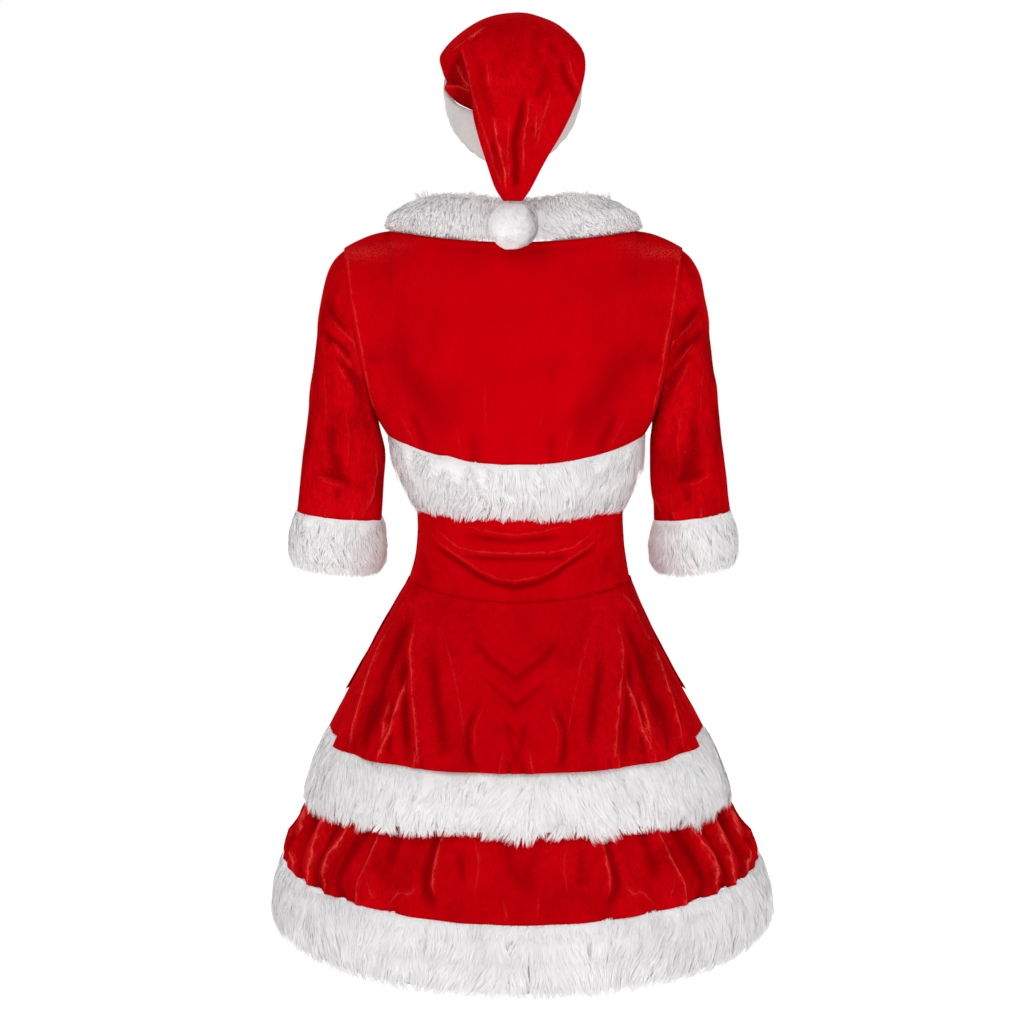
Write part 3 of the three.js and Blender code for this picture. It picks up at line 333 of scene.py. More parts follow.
# Fur bands: the pile's length in mm, strands to each square mm, how ragged and uneven the fringe is, and the
# cut of what shows. A tube is rolled, and an arm's band is combed down that arm.
FUR_BANDS = [
    {"piece": "collar", "node": "collar_fur", "length": 16, "density": 0.36, "tube": True,
     "flat": (0.62, 0.09), "area": 0.028, "rests_on": ["bolero_back_velvet"]},
    {"piece": "bolero_hem", "node": "bolero_hem_fur", "length": 28, "density": 0.36,
     "ragged": (0.55, 1.35), "uneven": 0.17,
     "flat": (0.86, 0.08), "area": 0.058, "rests_on": ["bolero_back_velvet"]},
    *({"piece": f"cuff_{side}", "node": f"cuff_fur_{side}", "length": 20, "density": 0.4, "arm": arm,
       "flat": (0.34, 0.07), "area": 0.018, "rests_on": [f"sleeve_{side}_velvet"]}
      for side, arm in (("left", 1), ("right", -1))),
    {"piece": "first_tier_fur_back", "node": "tier1_fur_back", "length": 29, "density": 0.38,
     "ragged": (0.65, 1.3), "uneven": 0.13,
     "flat": (0.74, 0.09), "area": 0.054, "rests_on": ["first_tier_back_velvet"]},
    {"piece": "first_tier_fur_front", "node": "tier1_fur_front", "length": 28, "density": 0.2,
     "flat": (0.74, 0.09), "area": 0.054, "rests_on": ["first_tier_front_velvet"]},
    *({"piece": f"second_tier_fur_{face}", "node": f"tier2_fur_{face}", "length": 33, "density": density,
       "flat": (0.86, 0.09), "area": 0.064, "rests_on": [f"second_tier_{face}_velvet"]}
      for face, density in (("back", 0.38), ("front", 0.2))),
]

# Strands: their cover and greatest width in mm, and the square mm that a tuft and a lock take
STRAND_COVER = 0.26
WIDEST_STRAND = 1.0
TUFT_AREA = 230
LOCK_AREA = 24

# How pile lies on a band that hangs and on a rolled one: how far it leans out, the shares of a strand behind
# and past the point that it covers, and how far its tip may stand off the solid, in metres
HANGING = {"lean": 1.0, "behind": 0.82, "past": 0.2, "tip_slack": 0.0014}
ROLLED = {"lean": 0.2, "behind": 0.5, "past": 0.16, "tip_slack": 0.001}
ROOT_SLACK = -0.0015
BEND_SLACK = 0.0006
PAST_SEAM = 0.003
PILE_LIFT = 0.004
ROOT_DEPTH = 0.35
ARM_SLANT = 0.06

# How strands stray from the comb's way, and how far their tips are drawn together
BROAD_SWIRL = 0.42
TUFT_SWIRL = 0.24
LOCK_SWIRL = 0.1
LOCK_PULL = 0.55
TUFT_PULL = 0.16

# The backing under the pile: how far it is sunk and its hem drawn up, and over what heights
BACKING_SUNK = 0.004
BACKING_DRAWN_UP = 0.009
SEAM_FADE = 0.02
HEM_FADE = 0.05
BACKING_LUMPS = 0.0007

# The pompom's core, as a share of its solid, and its curls
POMPOM_CORE = 0.86
POMPOM_DENSITY = 1.4
POMPOM_CURL = 0.008


# Camera and studio
def place_camera():
    lens = bpy.data.cameras.new("camera")
    lens.lens = LENS
    lens.sensor_width = SENSOR
    lens.shift_x = (PICTURE / 2 - CENTRE_COLUMN) / PICTURE
    camera = bpy.data.objects.new("camera", lens)
    camera.location = EYE
    camera.rotation_euler = (AIM - EYE).to_track_quat("-Z", "Y").to_euler()
    bpy.context.scene.collection.objects.link(camera)
    bpy.context.scene.camera = camera


def set_up_studio():
    scene = bpy.context.scene
    scene.view_settings.view_transform = "Standard"
    world = bpy.data.worlds.new("studio")
    world.use_nodes = True
    nodes, links = world.node_tree.nodes, world.node_tree.links
    backdrop = nodes["Background"]
    backdrop.inputs["Color"].default_value = (1, 1, 1, 1)
    seen = nodes.new("ShaderNodeLightPath")
    strength = nodes.new("ShaderNodeMapRange")
    strength.inputs["To Min"].default_value = BACKDROP_LIGHT
    links.new(seen.outputs["Is Camera Ray"], strength.inputs["Value"])
    links.new(strength.outputs["Result"], backdrop.inputs["Strength"])
    scene.world = world
    for light in STUDIO_LIGHTS:
        lamp = bpy.data.lights.new(light["name"], "AREA")
        lamp.size = light["size"]
        lamp.energy = light["watts"]
        stand = bpy.data.objects.new(light["name"], lamp)
        stand.location = light["place"]
        aim = Vector(light["aim"]) - stand.location
        stand.rotation_euler = aim.to_track_quat("-Z", "Y").to_euler()
        scene.collection.objects.link(stand)
    floor = bmesh.new()
    bmesh.ops.create_grid(floor, x_segments=1, y_segments=1, size=FLOOR_REACH)
    bmesh.ops.translate(floor, verts=floor.verts, vec=(0, 0, FLOOR_HEIGHT))
    new_piece("studio_floor", floor, floor_paint())


def new_piece(name, form, finish):
    """An object at the origin from a bmesh."""
    mesh = bpy.data.meshes.new(name)
    form.to_mesh(mesh)
    form.free()
    return piece_from_mesh(name, mesh, finish)


def piece_from_mesh(name, mesh, finish):
    piece = bpy.data.objects.new(name, mesh)
    mesh.materials.append(finish)
    bpy.context.scene.collection.objects.link(piece)
    return piece


# Materials
def blank_material(name):
    """A material with only its shader and output, and the lists of its nodes and links."""
    material = bpy.data.materials.new(name)
    material.use_nodes = True
    nodes, links = material.node_tree.nodes, material.node_tree.links
    return material, nodes, links, nodes["Principled BSDF"]


def object_noise(nodes, links, scale, stretch=(1, 1, 1), detail=2, roughness=0.5, distortion=0):
    """A noise that stays with the piece."""
    place = nodes.new("ShaderNodeTexCoord")
    turn = nodes.new("ShaderNodeMapping")
    turn.inputs["Scale"].default_value = stretch
    noise = nodes.new("ShaderNodeTexNoise")
    noise.inputs["Scale"].default_value = scale
    noise.inputs["Detail"].default_value = detail
    noise.inputs["Roughness"].default_value = roughness
    noise.inputs["Distortion"].default_value = distortion
    links.new(place.outputs["Object"], turn.inputs["Vector"])
    links.new(turn.outputs["Vector"], noise.inputs["Vector"])
    return noise.outputs["Fac"]


def ramp(nodes, links, value, stops):
    """Colours along a value: `stops` are pairs of place and colour."""
    node = nodes.new("ShaderNodeValToRGB")
    elements = node.color_ramp.elements
    while len(elements) < len(stops):
        elements.new(0.5)
    for element, (place, colour) in zip(elements, stops):
        element.position = place
        element.color = (*colour, 1)
    links.new(value, node.inputs["Fac"])
    return node.outputs["Color"]


def blended(nodes, links, share, first, second, way="MIX"):
    """Two colours mixed by a share, or multiplied. Each is a value or a node's output."""
    node = nodes.new("ShaderNodeMix")
    node.data_type = "RGBA"
    node.blend_type = way
    for socket, value in ((node.inputs[0], share), (node.inputs[6], first), (node.inputs[7], second)):
        if isinstance(value, tuple):
            socket.default_value = (*value, 1)
        elif isinstance(value, float):
            socket.default_value = value
        else:
            links.new(value, socket)
    return node.outputs[2]


def number(nodes, links, operation, first, second, clamp=True):
    """A sum on two numbers, kept between 0 and 1 where it is clamped."""
    node = nodes.new("ShaderNodeMath")
    node.operation = operation
    node.use_clamp = clamp
    for socket, value in ((node.inputs[0], first), (node.inputs[1], second)):
        if isinstance(value, float):
            socket.default_value = value
        else:
            links.new(value, socket)
    return node.outputs[0]


def own_value(nodes, name):
    """A value kept on the piece's own points."""
    node = nodes.new("ShaderNodeAttribute")
    node.attribute_name = name
    return node.outputs["Fac"]


def raise_pile(nodes, links, shader, heights):
    """Bumps from several textures: rows of height, distance in metres and strength."""
    normal = None
    for height, distance, strength in heights:
        bump = nodes.new("ShaderNodeBump")
        bump.inputs["Distance"].default_value = distance
        bump.inputs["Strength"].default_value = strength
        links.new(height, bump.inputs["Height"])
        if normal is not None:
            links.new(normal, bump.inputs["Normal"])
        normal = bump.outputs["Normal"]
    links.new(normal, shader.inputs["Normal"])


def velvet_finish():
    """Short-pile velvet: painted shade in the troughs of its folds, a mottled nap where it is crushed, a
    painted highlight line and specks along the crests of its folds, and painted highlight flecks where it is
    crushed and on its highlight patches."""
    material, nodes, links, shader = blank_material("velvet")

    def value(operation, first, second, clamp=True):
        return number(nodes, links, operation, first, second, clamp)

    # How crushed the nap is: sets its mottle and the strength of its painted highlight specks
    crush_and_sheen = own_value(nodes, "crush_and_sheen")
    broad = object_noise(nodes, links, 19, (1, 1, 0.55), detail=3, distortion=0.8)
    patches = ramp(nodes, links, broad, [(0.34, VELVET_DEEP), (0.52, VELVET_RED), (0.7, VELVET_BRIGHT)])
    cloth = blended(nodes, links, crush_and_sheen, VELVET_RED, patches)
    nap = object_noise(nodes, links, 150, (1, 1, 0.4), detail=5, roughness=0.72, distortion=1.2)
    streaks = ramp(nodes, links, nap, [(0.36, (0.7, 0.7, 0.7)), (0.55, (1, 1, 1)), (0.75, (1.18, 1.18, 1.18))])
    mottled = blended(nodes, links, value("MULTIPLY", crush_and_sheen, 0.9), cloth, streaks, "MULTIPLY")
    # Painted shade: the troughs of the folds are darkened towards the shadow colour
    sunk = blended(nodes, links, value("MULTIPLY", own_value(nodes, "fold"), -0.7), mottled, VELVET_SHADOW)

    # The crest's painted highlight line wavers, and breaks up with the clumps of the nap
    grain = object_noise(nodes, links, 620, (1, 1, 0.6), detail=3, roughness=0.7)
    clumps = object_noise(nodes, links, 95, (1, 1, 0.7), detail=3, roughness=0.65)
    wavering = value("MULTIPLY", clumps, 5.0, False)
    off = value("ADD", own_value(nodes, "crest_off"), value("SUBTRACT", wavering, 2.5, False), False)
    off = value("ABSOLUTE", off, 0.0, False)
    thin = value("SUBTRACT", 1.0, value("MULTIPLY", off, 1 / CREST_LINE, False))
    halo = value("SUBTRACT", 1.0, value("MULTIPLY", off, 1 / CREST_HALO, False))
    broken = value("MULTIPLY", value("SUBTRACT", grain, 0.4), 5.0)
    tufted = value("MULTIPLY", value("SUBTRACT", clumps, 0.36), 4.0)
    lines = value("MULTIPLY", thin, value("ADD", value("MULTIPLY", tufted, 0.6), 0.3))
    # Painted highlight specks scattered beside the crest's line
    crest_sheen_specks = value("MULTIPLY", value("MULTIPLY", halo, tufted), value("MULTIPLY", broken, 0.55))
    along = value("MULTIPLY", value("ADD", lines, crest_sheen_specks), own_value(nodes, "crest"))

    # Painted highlight specks where the nap is crushed, and on the painted highlight patches
    crushed_sheen_specks = value("MULTIPLY", value("SUBTRACT", grain, 0.6), value("MULTIPLY", crush_and_sheen, 1.6, False))
    # Painted highlight patches, listed for each panel
    sheen_patches = value("MULTIPLY", own_value(nodes, "sheen_patches"), 2.4, False)
    patch_sheen = value("MULTIPLY", value("SUBTRACT", grain, 0.44), sheen_patches)
    sheen_flecks = value("ADD", value("ADD", along, crushed_sheen_specks), patch_sheen)
    # The painted highlight flecks are mixed over the cloth
    links.new(blended(nodes, links, sheen_flecks, sunk, VELVET_SHEEN_FLECK), shader.inputs["Base Color"])
    shader.inputs["Roughness"].default_value = 0.8
    shader.inputs["Specular IOR Level"].default_value = 0.0
    shader.inputs["Sheen Weight"].default_value = 0.25
    shader.inputs["Sheen Roughness"].default_value = 0.3
    shader.inputs["Sheen Tint"].default_value = (1.0, 0.03, 0.03, 1)
    raise_pile(nodes, links, shader, [(nap, 0.0016, 0.3), (grain, 0.0005, 0.3)])
    return material


def fur_finish(name, shade, light, tip):
    """Pile with painted shade that darkens it a little at its roots, each lock of its own tone. The faint glow
    is the light that scatters between its fibres."""
    material, nodes, links, shader = blank_material(name)
    hair = ramp(nodes, links, own_value(nodes, "tone"), [(0.0, shade), (0.55, light), (1.0, tip)])
    broad = object_noise(nodes, links, 20, (1, 1, 0.7), detail=3)
    soft = ramp(nodes, links, broad, [(0.35, (0.93, 0.92, 0.93)), (0.6, (1, 1, 1))])
    links.new(blended(nodes, links, 1.0, hair, soft, "MULTIPLY"), shader.inputs["Base Color"])
    shader.inputs["Roughness"].default_value = 0.8
    shader.inputs["Specular IOR Level"].default_value = 0.1
    shader.inputs["Sheen Weight"].default_value = 0.2
    shader.inputs["Sheen Roughness"].default_value = 0.5
    links.new(hair, shader.inputs["Emission Color"])
    shader.inputs["Emission Strength"].default_value = FUR_SCATTER
    fine = object_noise(nodes, links, 420, (1, 1, 0.25), detail=3)
    raise_pile(nodes, links, shader, [(fine, 0.001, 0.12)])
    return material


def floor_paint():
    material, nodes, links, shader = blank_material("studio_floor_paint")
    speckle = object_noise(nodes, links, 3, detail=2)
    paint = ramp(nodes, links, speckle, [(0.3, (0.88, 0.88, 0.88)), (0.7, (0.91, 0.91, 0.91))])
    links.new(paint, shader.inputs["Base Color"])
    links.new(paint, shader.inputs["Emission Color"])
    shader.inputs["Emission Strength"].default_value = FLOOR_GLOW
    shader.inputs["Roughness"].default_value = 0.9
    return material


# Arrays of mesh points
def triples(items, field):
    values = np.empty(len(items) * 3, np.float32)
    items.foreach_get(field, values)
    return values.reshape(-1, 3).astype(float)


def mesh_points(mesh):
    return triples(mesh.vertices, "co")


def mesh_normals(mesh):
    return triples(mesh.vertex_normals, "vector")


def set_points(mesh, points):
    mesh.vertices.foreach_set("co", points.astype(np.float32).ravel())
    mesh.update()


def keep_value(mesh, name, values):
    attribute = mesh.attributes.new(name, "FLOAT", "POINT")
    attribute.data.foreach_set("value", values.astype(np.float32))


def unit(vectors):
    return vectors / np.maximum(np.linalg.norm(vectors, axis=1, keepdims=True), 1e-12)


def smooth_step(value):
    value = np.clip(value, 0, 1)
    return value * value * (3 - 2 * value)


# Cloth
def rounded_copy(node, name, rounds, finish):
    """A smooth copy of a node's solid: merged, squared up and subdivided, with the wall's edges kept."""
    form = bmesh.new()
    form.from_mesh(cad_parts[node].data)
    bmesh.ops.remove_doubles(form, verts=form.verts, dist=WELD)
    bmesh.ops.join_triangles(
        form, faces=form.faces, angle_face_threshold=QUAD_BEND, angle_shape_threshold=QUAD_SHEAR
    )
    crease = form.edges.layers.float.new("crease_edge")
    for edge in form.edges:
        if edge.calc_face_angle(0) > RIM_ANGLE:
            edge[crease] = 1
    piece = new_piece(name, form, finish)
    rounding = piece.modifiers.new("rounding", "SUBSURF")
    rounding.levels = rounding.render_levels = rounds
    settle_modifiers(piece)
    piece.data.shade_smooth()
    return piece


def settle_modifiers(piece):
    """Makes a piece's modifiers part of its mesh."""
    view = bpy.context.evaluated_depsgraph_get()
    mesh = bpy.data.meshes.new_from_object(piece.evaluated_get(view))
    old = piece.data
    piece.modifiers.clear()
    piece.data = mesh
    bpy.data.meshes.remove(old)


def outwards(points, middle, reach):
    """Level directions away from a garment's upright middle line."""
    away = np.zeros_like(points)
    away[:, 0] = (points[:, 0] - middle) / reach[0] ** 2
    away[:, 1] = points[:, 1] / reach[1] ** 2
    return unit(away)


def along_path(aside, height, path):
    """How far points lie from a path, signed by its side, and how far along it they are, from 0 to 1."""
    unreached, level_side = 1e9, 1e-9
    corners = np.array(path, float)
    steps = np.diff(corners, axis=0)
    lengths = np.linalg.norm(steps, axis=1)
    starts = np.concatenate([[0], np.cumsum(lengths)[:-1]])
    best = np.full(aside.shape, unreached)
    share = np.zeros(aside.shape)
    for corner, step, length, start in zip(corners, steps, lengths, starts):
        right, up = aside - corner[0], height - corner[1]
        t = np.clip((right * step[0] + up * step[1]) / length**2, 0, 1)
        turn = np.sign(step[0] * up - step[1] * right + level_side)
        off = np.hypot(right - t * step[0], up - t * step[1]) * turn
        nearer = np.abs(off) < np.abs(best)
        best = np.where(nearer, off, best)
        share = np.where(nearer, (start + t * length) / lengths.sum(), share)
    return best, share


def fold_relief(aside, height, folds):
    """How far each point is raised by the folds, in mm, how bright its brightest painted crest highlight is,
    and how far it is to that crest's line."""
    relief, crest, crest_off = (np.zeros(aside.shape) for _ in range(3))
    for row in folds:
        off, share = along_path(aside, height, row["path"])
        strength = smooth_step(np.minimum(share, 1 - share) / row["fade"])
        relief += row["depth"] * strength * np.exp(-((off / row["width"]) ** 2))
        shine = row["shine"] * strength * np.exp(-((off / CREST_REACH) ** 4))
        crest_off = np.where(shine > crest, off, crest_off)
        crest = np.maximum(crest, shine)
    return relief, crest, crest_off


def rumple(points, size, seed):
    """A soft unevenness from -1 to 1, from a few waves in seeded directions."""
    random = np.random.default_rng(seed)
    total = np.zeros(len(points))
    waves = 9
    for _ in range(waves):
        way = random.normal(size=3)
        way = way / np.linalg.norm(way) * random.uniform(0.6, 1.6)
        total += np.sin(points @ way * (2 * math.pi / size) + random.uniform(0, 2 * math.pi))
    return total / math.sqrt(waves)


def press(piece, points, pressed, away, crush_and_sheen, seed):
    """Presses folds into both faces of a wall, and keeps them, with the nap's crush, for the velvet's painted
    shade in the troughs and painted highlights along the crests.
    """
    relief, crest, crest_off = pressed
    soft = UNEVENNESS * rumple(points, UNEVEN_SIZE, seed)
    set_points(piece.data, points + away * ((relief + soft) * MM)[:, None])
    # Fold depth for the painted shade in the troughs, crest values for the painted highlights along the crests
    keep_value(piece.data, "fold", np.clip(relief / FULL_FOLD + soft * 0.2, -1, 1))
    keep_value(piece.data, "crest", crest)
    keep_value(piece.data, "crest_off", np.clip(crest_off, -8, 8))
    keep_value(piece.data, "crush_and_sheen", crush_and_sheen)


def welted(points, away, reach, middle):
    """Lifts a skirt's top edge a little over the seam above it."""
    angle = np.arctan2(points[:, 1] / reach[1], (points[:, 0] - middle) / reach[0])
    bins = np.round(np.degrees(angle) / WELT["step"]).astype(int)
    keys = np.unique(bins)
    tops = np.array([points[bins == key, 2].max() for key in keys])
    below = np.interp(angle, np.radians(keys * float(WELT["step"])), tops) - points[:, 2]
    lift = smooth_step(1 - below / WELT["height"])[:, None]
    return points + lift * (away * WELT["out"] + np.array([0, 0, WELT["up"]]))


def tucked(points, aside, middle, distance):
    """Draws in a skirt's lower corners."""
    low = smooth_step((TUCK["below"] - points[:, 2]) / TUCK["drop"])
    corner = smooth_step((aside - TUCK["aside"]) / TUCK["over"]) * low
    drawn = points.copy()
    drawn[:, 0] -= np.sign(points[:, 0] - middle) * distance * corner
    return drawn


def way_round(points, aside, middle, reach):
    """Distances aside with a gathered panel's own waves taken out."""
    round_off = np.hypot((points[:, 0] - middle) / reach[0], points[:, 1] / reach[1])
    level = np.polyval(np.polyfit(points[:, 2], round_off, 2), points[:, 2])
    return aside * level / round_off


def sheen_patch_strength(points, aside, patches):
    """How strong the painted highlight patches are at each point."""
    sheen_patches = np.zeros(len(points))
    for patch in patches:
        across = (aside / MM - patch["across"]) / patch["wide"]
        up = (points[:, 2] / MM - patch["height"]) / patch["tall"]
        sheen_patches = np.maximum(sheen_patches, patch["amount"] * np.exp(-(np.hypot(across, up) ** 2)))
    return sheen_patches


def velvet_panel(panel, finish, seed):
    """A panel's cloth: its solid's copy with folds pressed in, and the values kept for its nap, its painted
    shade and its painted highlights.
    """
    piece = rounded_copy(panel["node"], panel["piece"], panel["rounds"], finish)
    low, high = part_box(panel["node"])
    split = panel["node"].endswith(("left", "right"))
    middle = ARMS_MIDDLE if split else (low.x + high.x) / 2
    points = mesh_points(piece.data)
    seam = np.abs(points[:, 1]) < SEAM_REACH
    points[seam, 1] = np.sign(points[seam, 1]) * SEAM_GAP
    away = outwards(points, middle, panel["reach"])
    aside = np.abs(points[:, 0] - middle)
    if panel.get("welt"):
        points = welted(points, away, panel["reach"], middle)
    if panel.get("tucked"):
        points = tucked(points, aside, middle, panel["tucked"])
    if panel["held"] == "gathered":
        aside = way_round(points, aside, middle, panel["reach"])
    pressed = fold_relief(aside / MM, points[:, 2] / MM, panel["folds"])
    calm, crushed = panel["crush_and_sheen"]
    crush_and_sheen = calm + (crushed - calm) * smooth_step(aside / panel["reach"][0])
    press(piece, points, pressed, away, crush_and_sheen, seed)
    # Painted highlight patches on the nap
    keep_value(piece.data, "sheen_patches", sheen_patch_strength(points, aside, panel.get("sheen_patches", [])))
    return piece


def velvet_sleeve(side, finish, seed):
    """A sleeve's cloth, with its own folds behind and before, and calm where it meets the armhole."""
    node = f"sleeve_{side}"
    piece = rounded_copy(node, f"{node}_velvet", 3, finish)
    way = 1 if side == "left" else -1
    points = mesh_points(piece.data)
    aside = way * (points[:, 0] - ARMS_MIDDLE)
    away = np.column_stack([points[:, 0] - ARMS_MIDDLE - way * ARM_AXIS, points[:, 1], np.zeros(len(points))])
    behind = smooth_step(points[:, 1] / SLEEVE_TURN + 0.5)
    back = fold_relief(aside / MM, points[:, 2] / MM, SLEEVE_BACK_FOLDS)
    front = fold_relief(aside / MM, points[:, 2] / MM, SLEEVE_FRONT_FOLDS)
    armhole = ARMHOLE_BACK + ARMHOLE_LEAN * (2 * points[:, 2] + ARMHOLE_DROP) / ARMHOLE_DROP
    free = smooth_step((aside - armhole) / ARMHOLE_CALM)
    relief = SLEEVE_CREASING * (back[0] * behind + front[0] * (1 - behind)) * free
    crest = back[1] * behind + front[1] * (1 - behind)
    pressed = relief, crest, np.where(behind > 0.5, back[2], front[2])
    press(piece, points, pressed, unit(away), np.full(len(points), 1.0), seed)
    return piece


def velvet_hat(finish):
    """The hat's cloth, with its folds on the back and the tail."""
    piece = rounded_copy("hat_crown", "hat_velvet", 3, finish)
    points = mesh_points(piece.data)
    sideways = (points[:, 0] - HAT_MIDDLE) * HAT_SIDEWAYS
    away = np.column_stack([sideways, points[:, 1], np.maximum(points[:, 2] - HAT_CROWN, 0)])
    behind = smooth_step((points[:, 1] - HAT_BACK) / HAT_TURN)
    relief, crest, crest_off = fold_relief(points[:, 0] / MM, points[:, 2] / MM, HAT_FOLDS)
    pressed = relief * behind, crest * behind, crest_off
    press(piece, points, pressed, unit(away), np.full(len(points), 0.8), 5)
    return piece


# Fur
def band_axis(band):
    """The way a band's pile is combed: down, or down the arm on a cuff."""
    slant = ARM_SLANT * band.get("arm", 0)
    way = np.array([slant, 0, -1.0])
    return way / np.linalg.norm(way)


class BandFrame:
    """Where points of a band lie: round its middle line, along its pile and out from the middle."""

    def __init__(self, band):
        low, high = (np.array(corner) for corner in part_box(band["node"]))
        self.down = band_axis(band)
        middle_y = (low[1] + high[1]) / 2 if "arm" in band else 0.0
        self.middle = np.array([(low[0] + high[0]) / 2, middle_y, (low[2] + high[2]) / 2])
        self.reach = ((high[0] - low[0]) / 2, max(high[1] - middle_y, middle_y - low[1]))
        points = mesh_points(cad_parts[band["node"]].data)
        angle, fall = self.angle(points), self.fall(points)
        bins = np.round(np.degrees(angle) / 6).astype(int)
        self.angles, self.seam, self.hem = [], [], []
        for key in sorted(set(bins.tolist())):
            own = bins == key
            self.angles.append(math.radians(key * 6))
            self.seam.append(fall[own].min())
            self.hem.append(fall[own].max())

    def off_middle(self, points):
        off = points - self.middle
        return off - (off @ self.down)[:, None] * self.down

    def angle(self, points):
        off = self.off_middle(points)
        return np.arctan2(off[:, 1] / self.reach[1], off[:, 0] / self.reach[0])

    def fall(self, points):
        return (points - self.middle) @ self.down

    def away(self, points):
        off = self.off_middle(points)
        return unit(off / np.array([self.reach[0] ** 2, self.reach[1] ** 2, 1e9]))

    def below_seam(self, points):
        return self.fall(points) - np.interp(self.angle(points), self.angles, self.seam)

    def above_hem(self, points):
        return np.interp(self.angle(points), self.angles, self.hem) - self.fall(points)


def fur_backing(band, finish):
    """The band's own body under the pile: its solid's copy, sunk a little and drawn up from the tips."""
    piece = rounded_copy(band["node"], band["piece"] + "_backing", 1, finish)
    points, normals = mesh_points(piece.data), mesh_normals(piece.data)
    place = BandFrame(band)
    away = place.away(points)
    if band.get("tube"):
        points = points - normals * BACKING_SUNK
    else:
        outer = smooth_step((normals * away).sum(1) * 1.5)
        near_hem = smooth_step(1 - place.above_hem(points) / HEM_FADE)
        sunk = BACKING_SUNK * smooth_step(place.below_seam(points) / SEAM_FADE)
        points = points - away * (outer * sunk)[:, None] - place.down * (BACKING_DRAWN_UP * near_hem)[:, None]
    lumps = BACKING_LUMPS * rumple(points, 0.03, len(points))
    set_points(piece.data, points + normals * lumps[:, None])
    keep_value(piece.data, "tone", np.full(len(points), 0.5))
    return piece


def scattered(node, density, random):
    """Points spread evenly over a node's faces, with the faces' outward directions."""
    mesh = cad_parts[node].data
    mesh.calc_loop_triangles()
    corners = np.array([mesh.vertices[i].co for t in mesh.loop_triangles for i in t.vertices])
    corners = corners.reshape(-1, 3, 3)
    cross = np.cross(corners[:, 1] - corners[:, 0], corners[:, 2] - corners[:, 0])
    area = np.linalg.norm(cross, axis=1) / 2
    count = int(area.sum() * density / MM**2)
    pick = random.choice(len(area), count, p=area / area.sum())
    a, b = random.random(count), random.random(count)
    over = a + b > 1
    a[over], b[over] = 1 - a[over], 1 - b[over]
    first, second, third = corners[pick, 0], corners[pick, 1], corners[pick, 2]
    points = first + (second - first) * a[:, None] + (third - first) * b[:, None]
    return points, unit(cross)[pick]


def grows_pile(faces, away, down):
    """Whether a hanging band's faces grow pile: not on its back, under its seam or on its ends."""
    facing_out, facing_down = (faces * away).sum(1), faces @ down
    end = (np.abs(facing_out) < 0.35) & (np.abs(facing_down) < 0.5)
    return (facing_out > -0.3) & (facing_down > -0.8) & ~end


def comb(band, random):
    """Root, bend and tip of each strand of a band, the way its flat side faces, and its tone."""
    rolled = band.get("tube", False)
    lay = ROLLED if rolled else HANGING
    place = BandFrame(band)
    points, faces = scattered(band["node"], band["density"], random)
    away = place.away(points)
    if not rolled:
        shown = grows_pile(faces, away, place.down)
        points, faces, away = points[shown], faces[shown], away[shown]
    hanging = np.clip(faces @ place.down, 0, 1)
    count = len(points)
    out = unit(faces + away * lay["lean"])
    down = np.tile(place.down, (count, 1))
    if rolled:
        down = unit(down + away * 0.5 + np.sign(points[:, :1] - place.middle[0]) * [[0.35, 0, 0]])
    combed = unit(down - out * (out * down).sum(1)[:, None] * 0.9)

    # Tufts and locks turn and lie together
    tuft = nearest_head(points, TUFT_AREA * band["density"], random)
    lock = nearest_head(points, LOCK_AREA * band["density"], random)
    tufts, locks = tuft.max() + 1, lock.max() + 1
    swirl = BROAD_SWIRL * rumple(points, 0.13, 3)
    swirl = swirl + random.normal(0, TUFT_SWIRL, tufts)[tuft] + random.normal(0, LOCK_SWIRL, locks)[lock]
    across = np.cross(out, combed)
    combed = unit(combed + across * swirl[:, None])

    # Lengths, uneven by tuft, by lock and by strand
    ragged = band.get("ragged", (0.75, 1.2))
    reach = random.uniform(*ragged, tufts)[tuft] * random.uniform(0.85, 1.12, locks)[lock]
    length = band["length"] * MM * reach * random.uniform(0.8, 1.08, count)
    if not rolled:
        length = np.minimum(length, np.maximum(place.below_seam(points), 0) + PAST_SEAM)
    depth = np.minimum(PILE_LIFT, length * ROOT_DEPTH)
    past = lay["past"] + random.normal(0, band.get("uneven", 0.0), tufts)[tuft]

    # Roots, tips and bends, none far off the solid
    roots = points - combed * (length * lay["behind"])[:, None] - out * depth[:, None]
    stray = random.normal(0, 0.0006, count)
    tips = points + combed * (length * past)[:, None] + out * (stray + 0.0003)[:, None]
    if not rolled:
        tips -= away * (length * 0.34 * hanging)[:, None]
    tips = gathered_tips(tips, lock, LOCK_PULL, random)
    tips = gathered_tips(tips, tuft, TUFT_PULL, random)
    tips = kept_close(band["node"], tips, away, lay["tip_slack"])
    if not rolled:
        roots = kept_close(band["node"], roots, away, ROOT_SLACK)
    curl = random.normal(0, 0.12, tufts)[tuft] * length
    bends = roots + out * (depth * 1.1)[:, None] + combed * (length * 0.5)[:, None] + across * curl[:, None]
    if not rolled:
        bends = kept_close(band["node"], bends, away, BEND_SLACK)
    tone = random.normal(0.58, 0.08, tufts)[tuft] + random.normal(0, 0.06, locks)[lock]
    tone = np.clip(tone + random.normal(0, 0.05, count), 0, 1)
    return roots, bends, tips, out, tone


def kept_close(node, places, away, slack):
    """Places brought back in where they stand further out than the slack from the solid's surface."""
    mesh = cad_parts[node].data
    mesh.calc_loop_triangles()
    triangles = [t.vertices for t in mesh.loop_triangles]
    surface = BVHTree.FromPolygons([v.co for v in mesh.vertices], triangles)
    off = places - np.array([surface.find_nearest(Vector(place))[0] for place in places])
    excess = np.maximum((off * away).sum(1) - slack, 0)
    return places - away * excess[:, None]


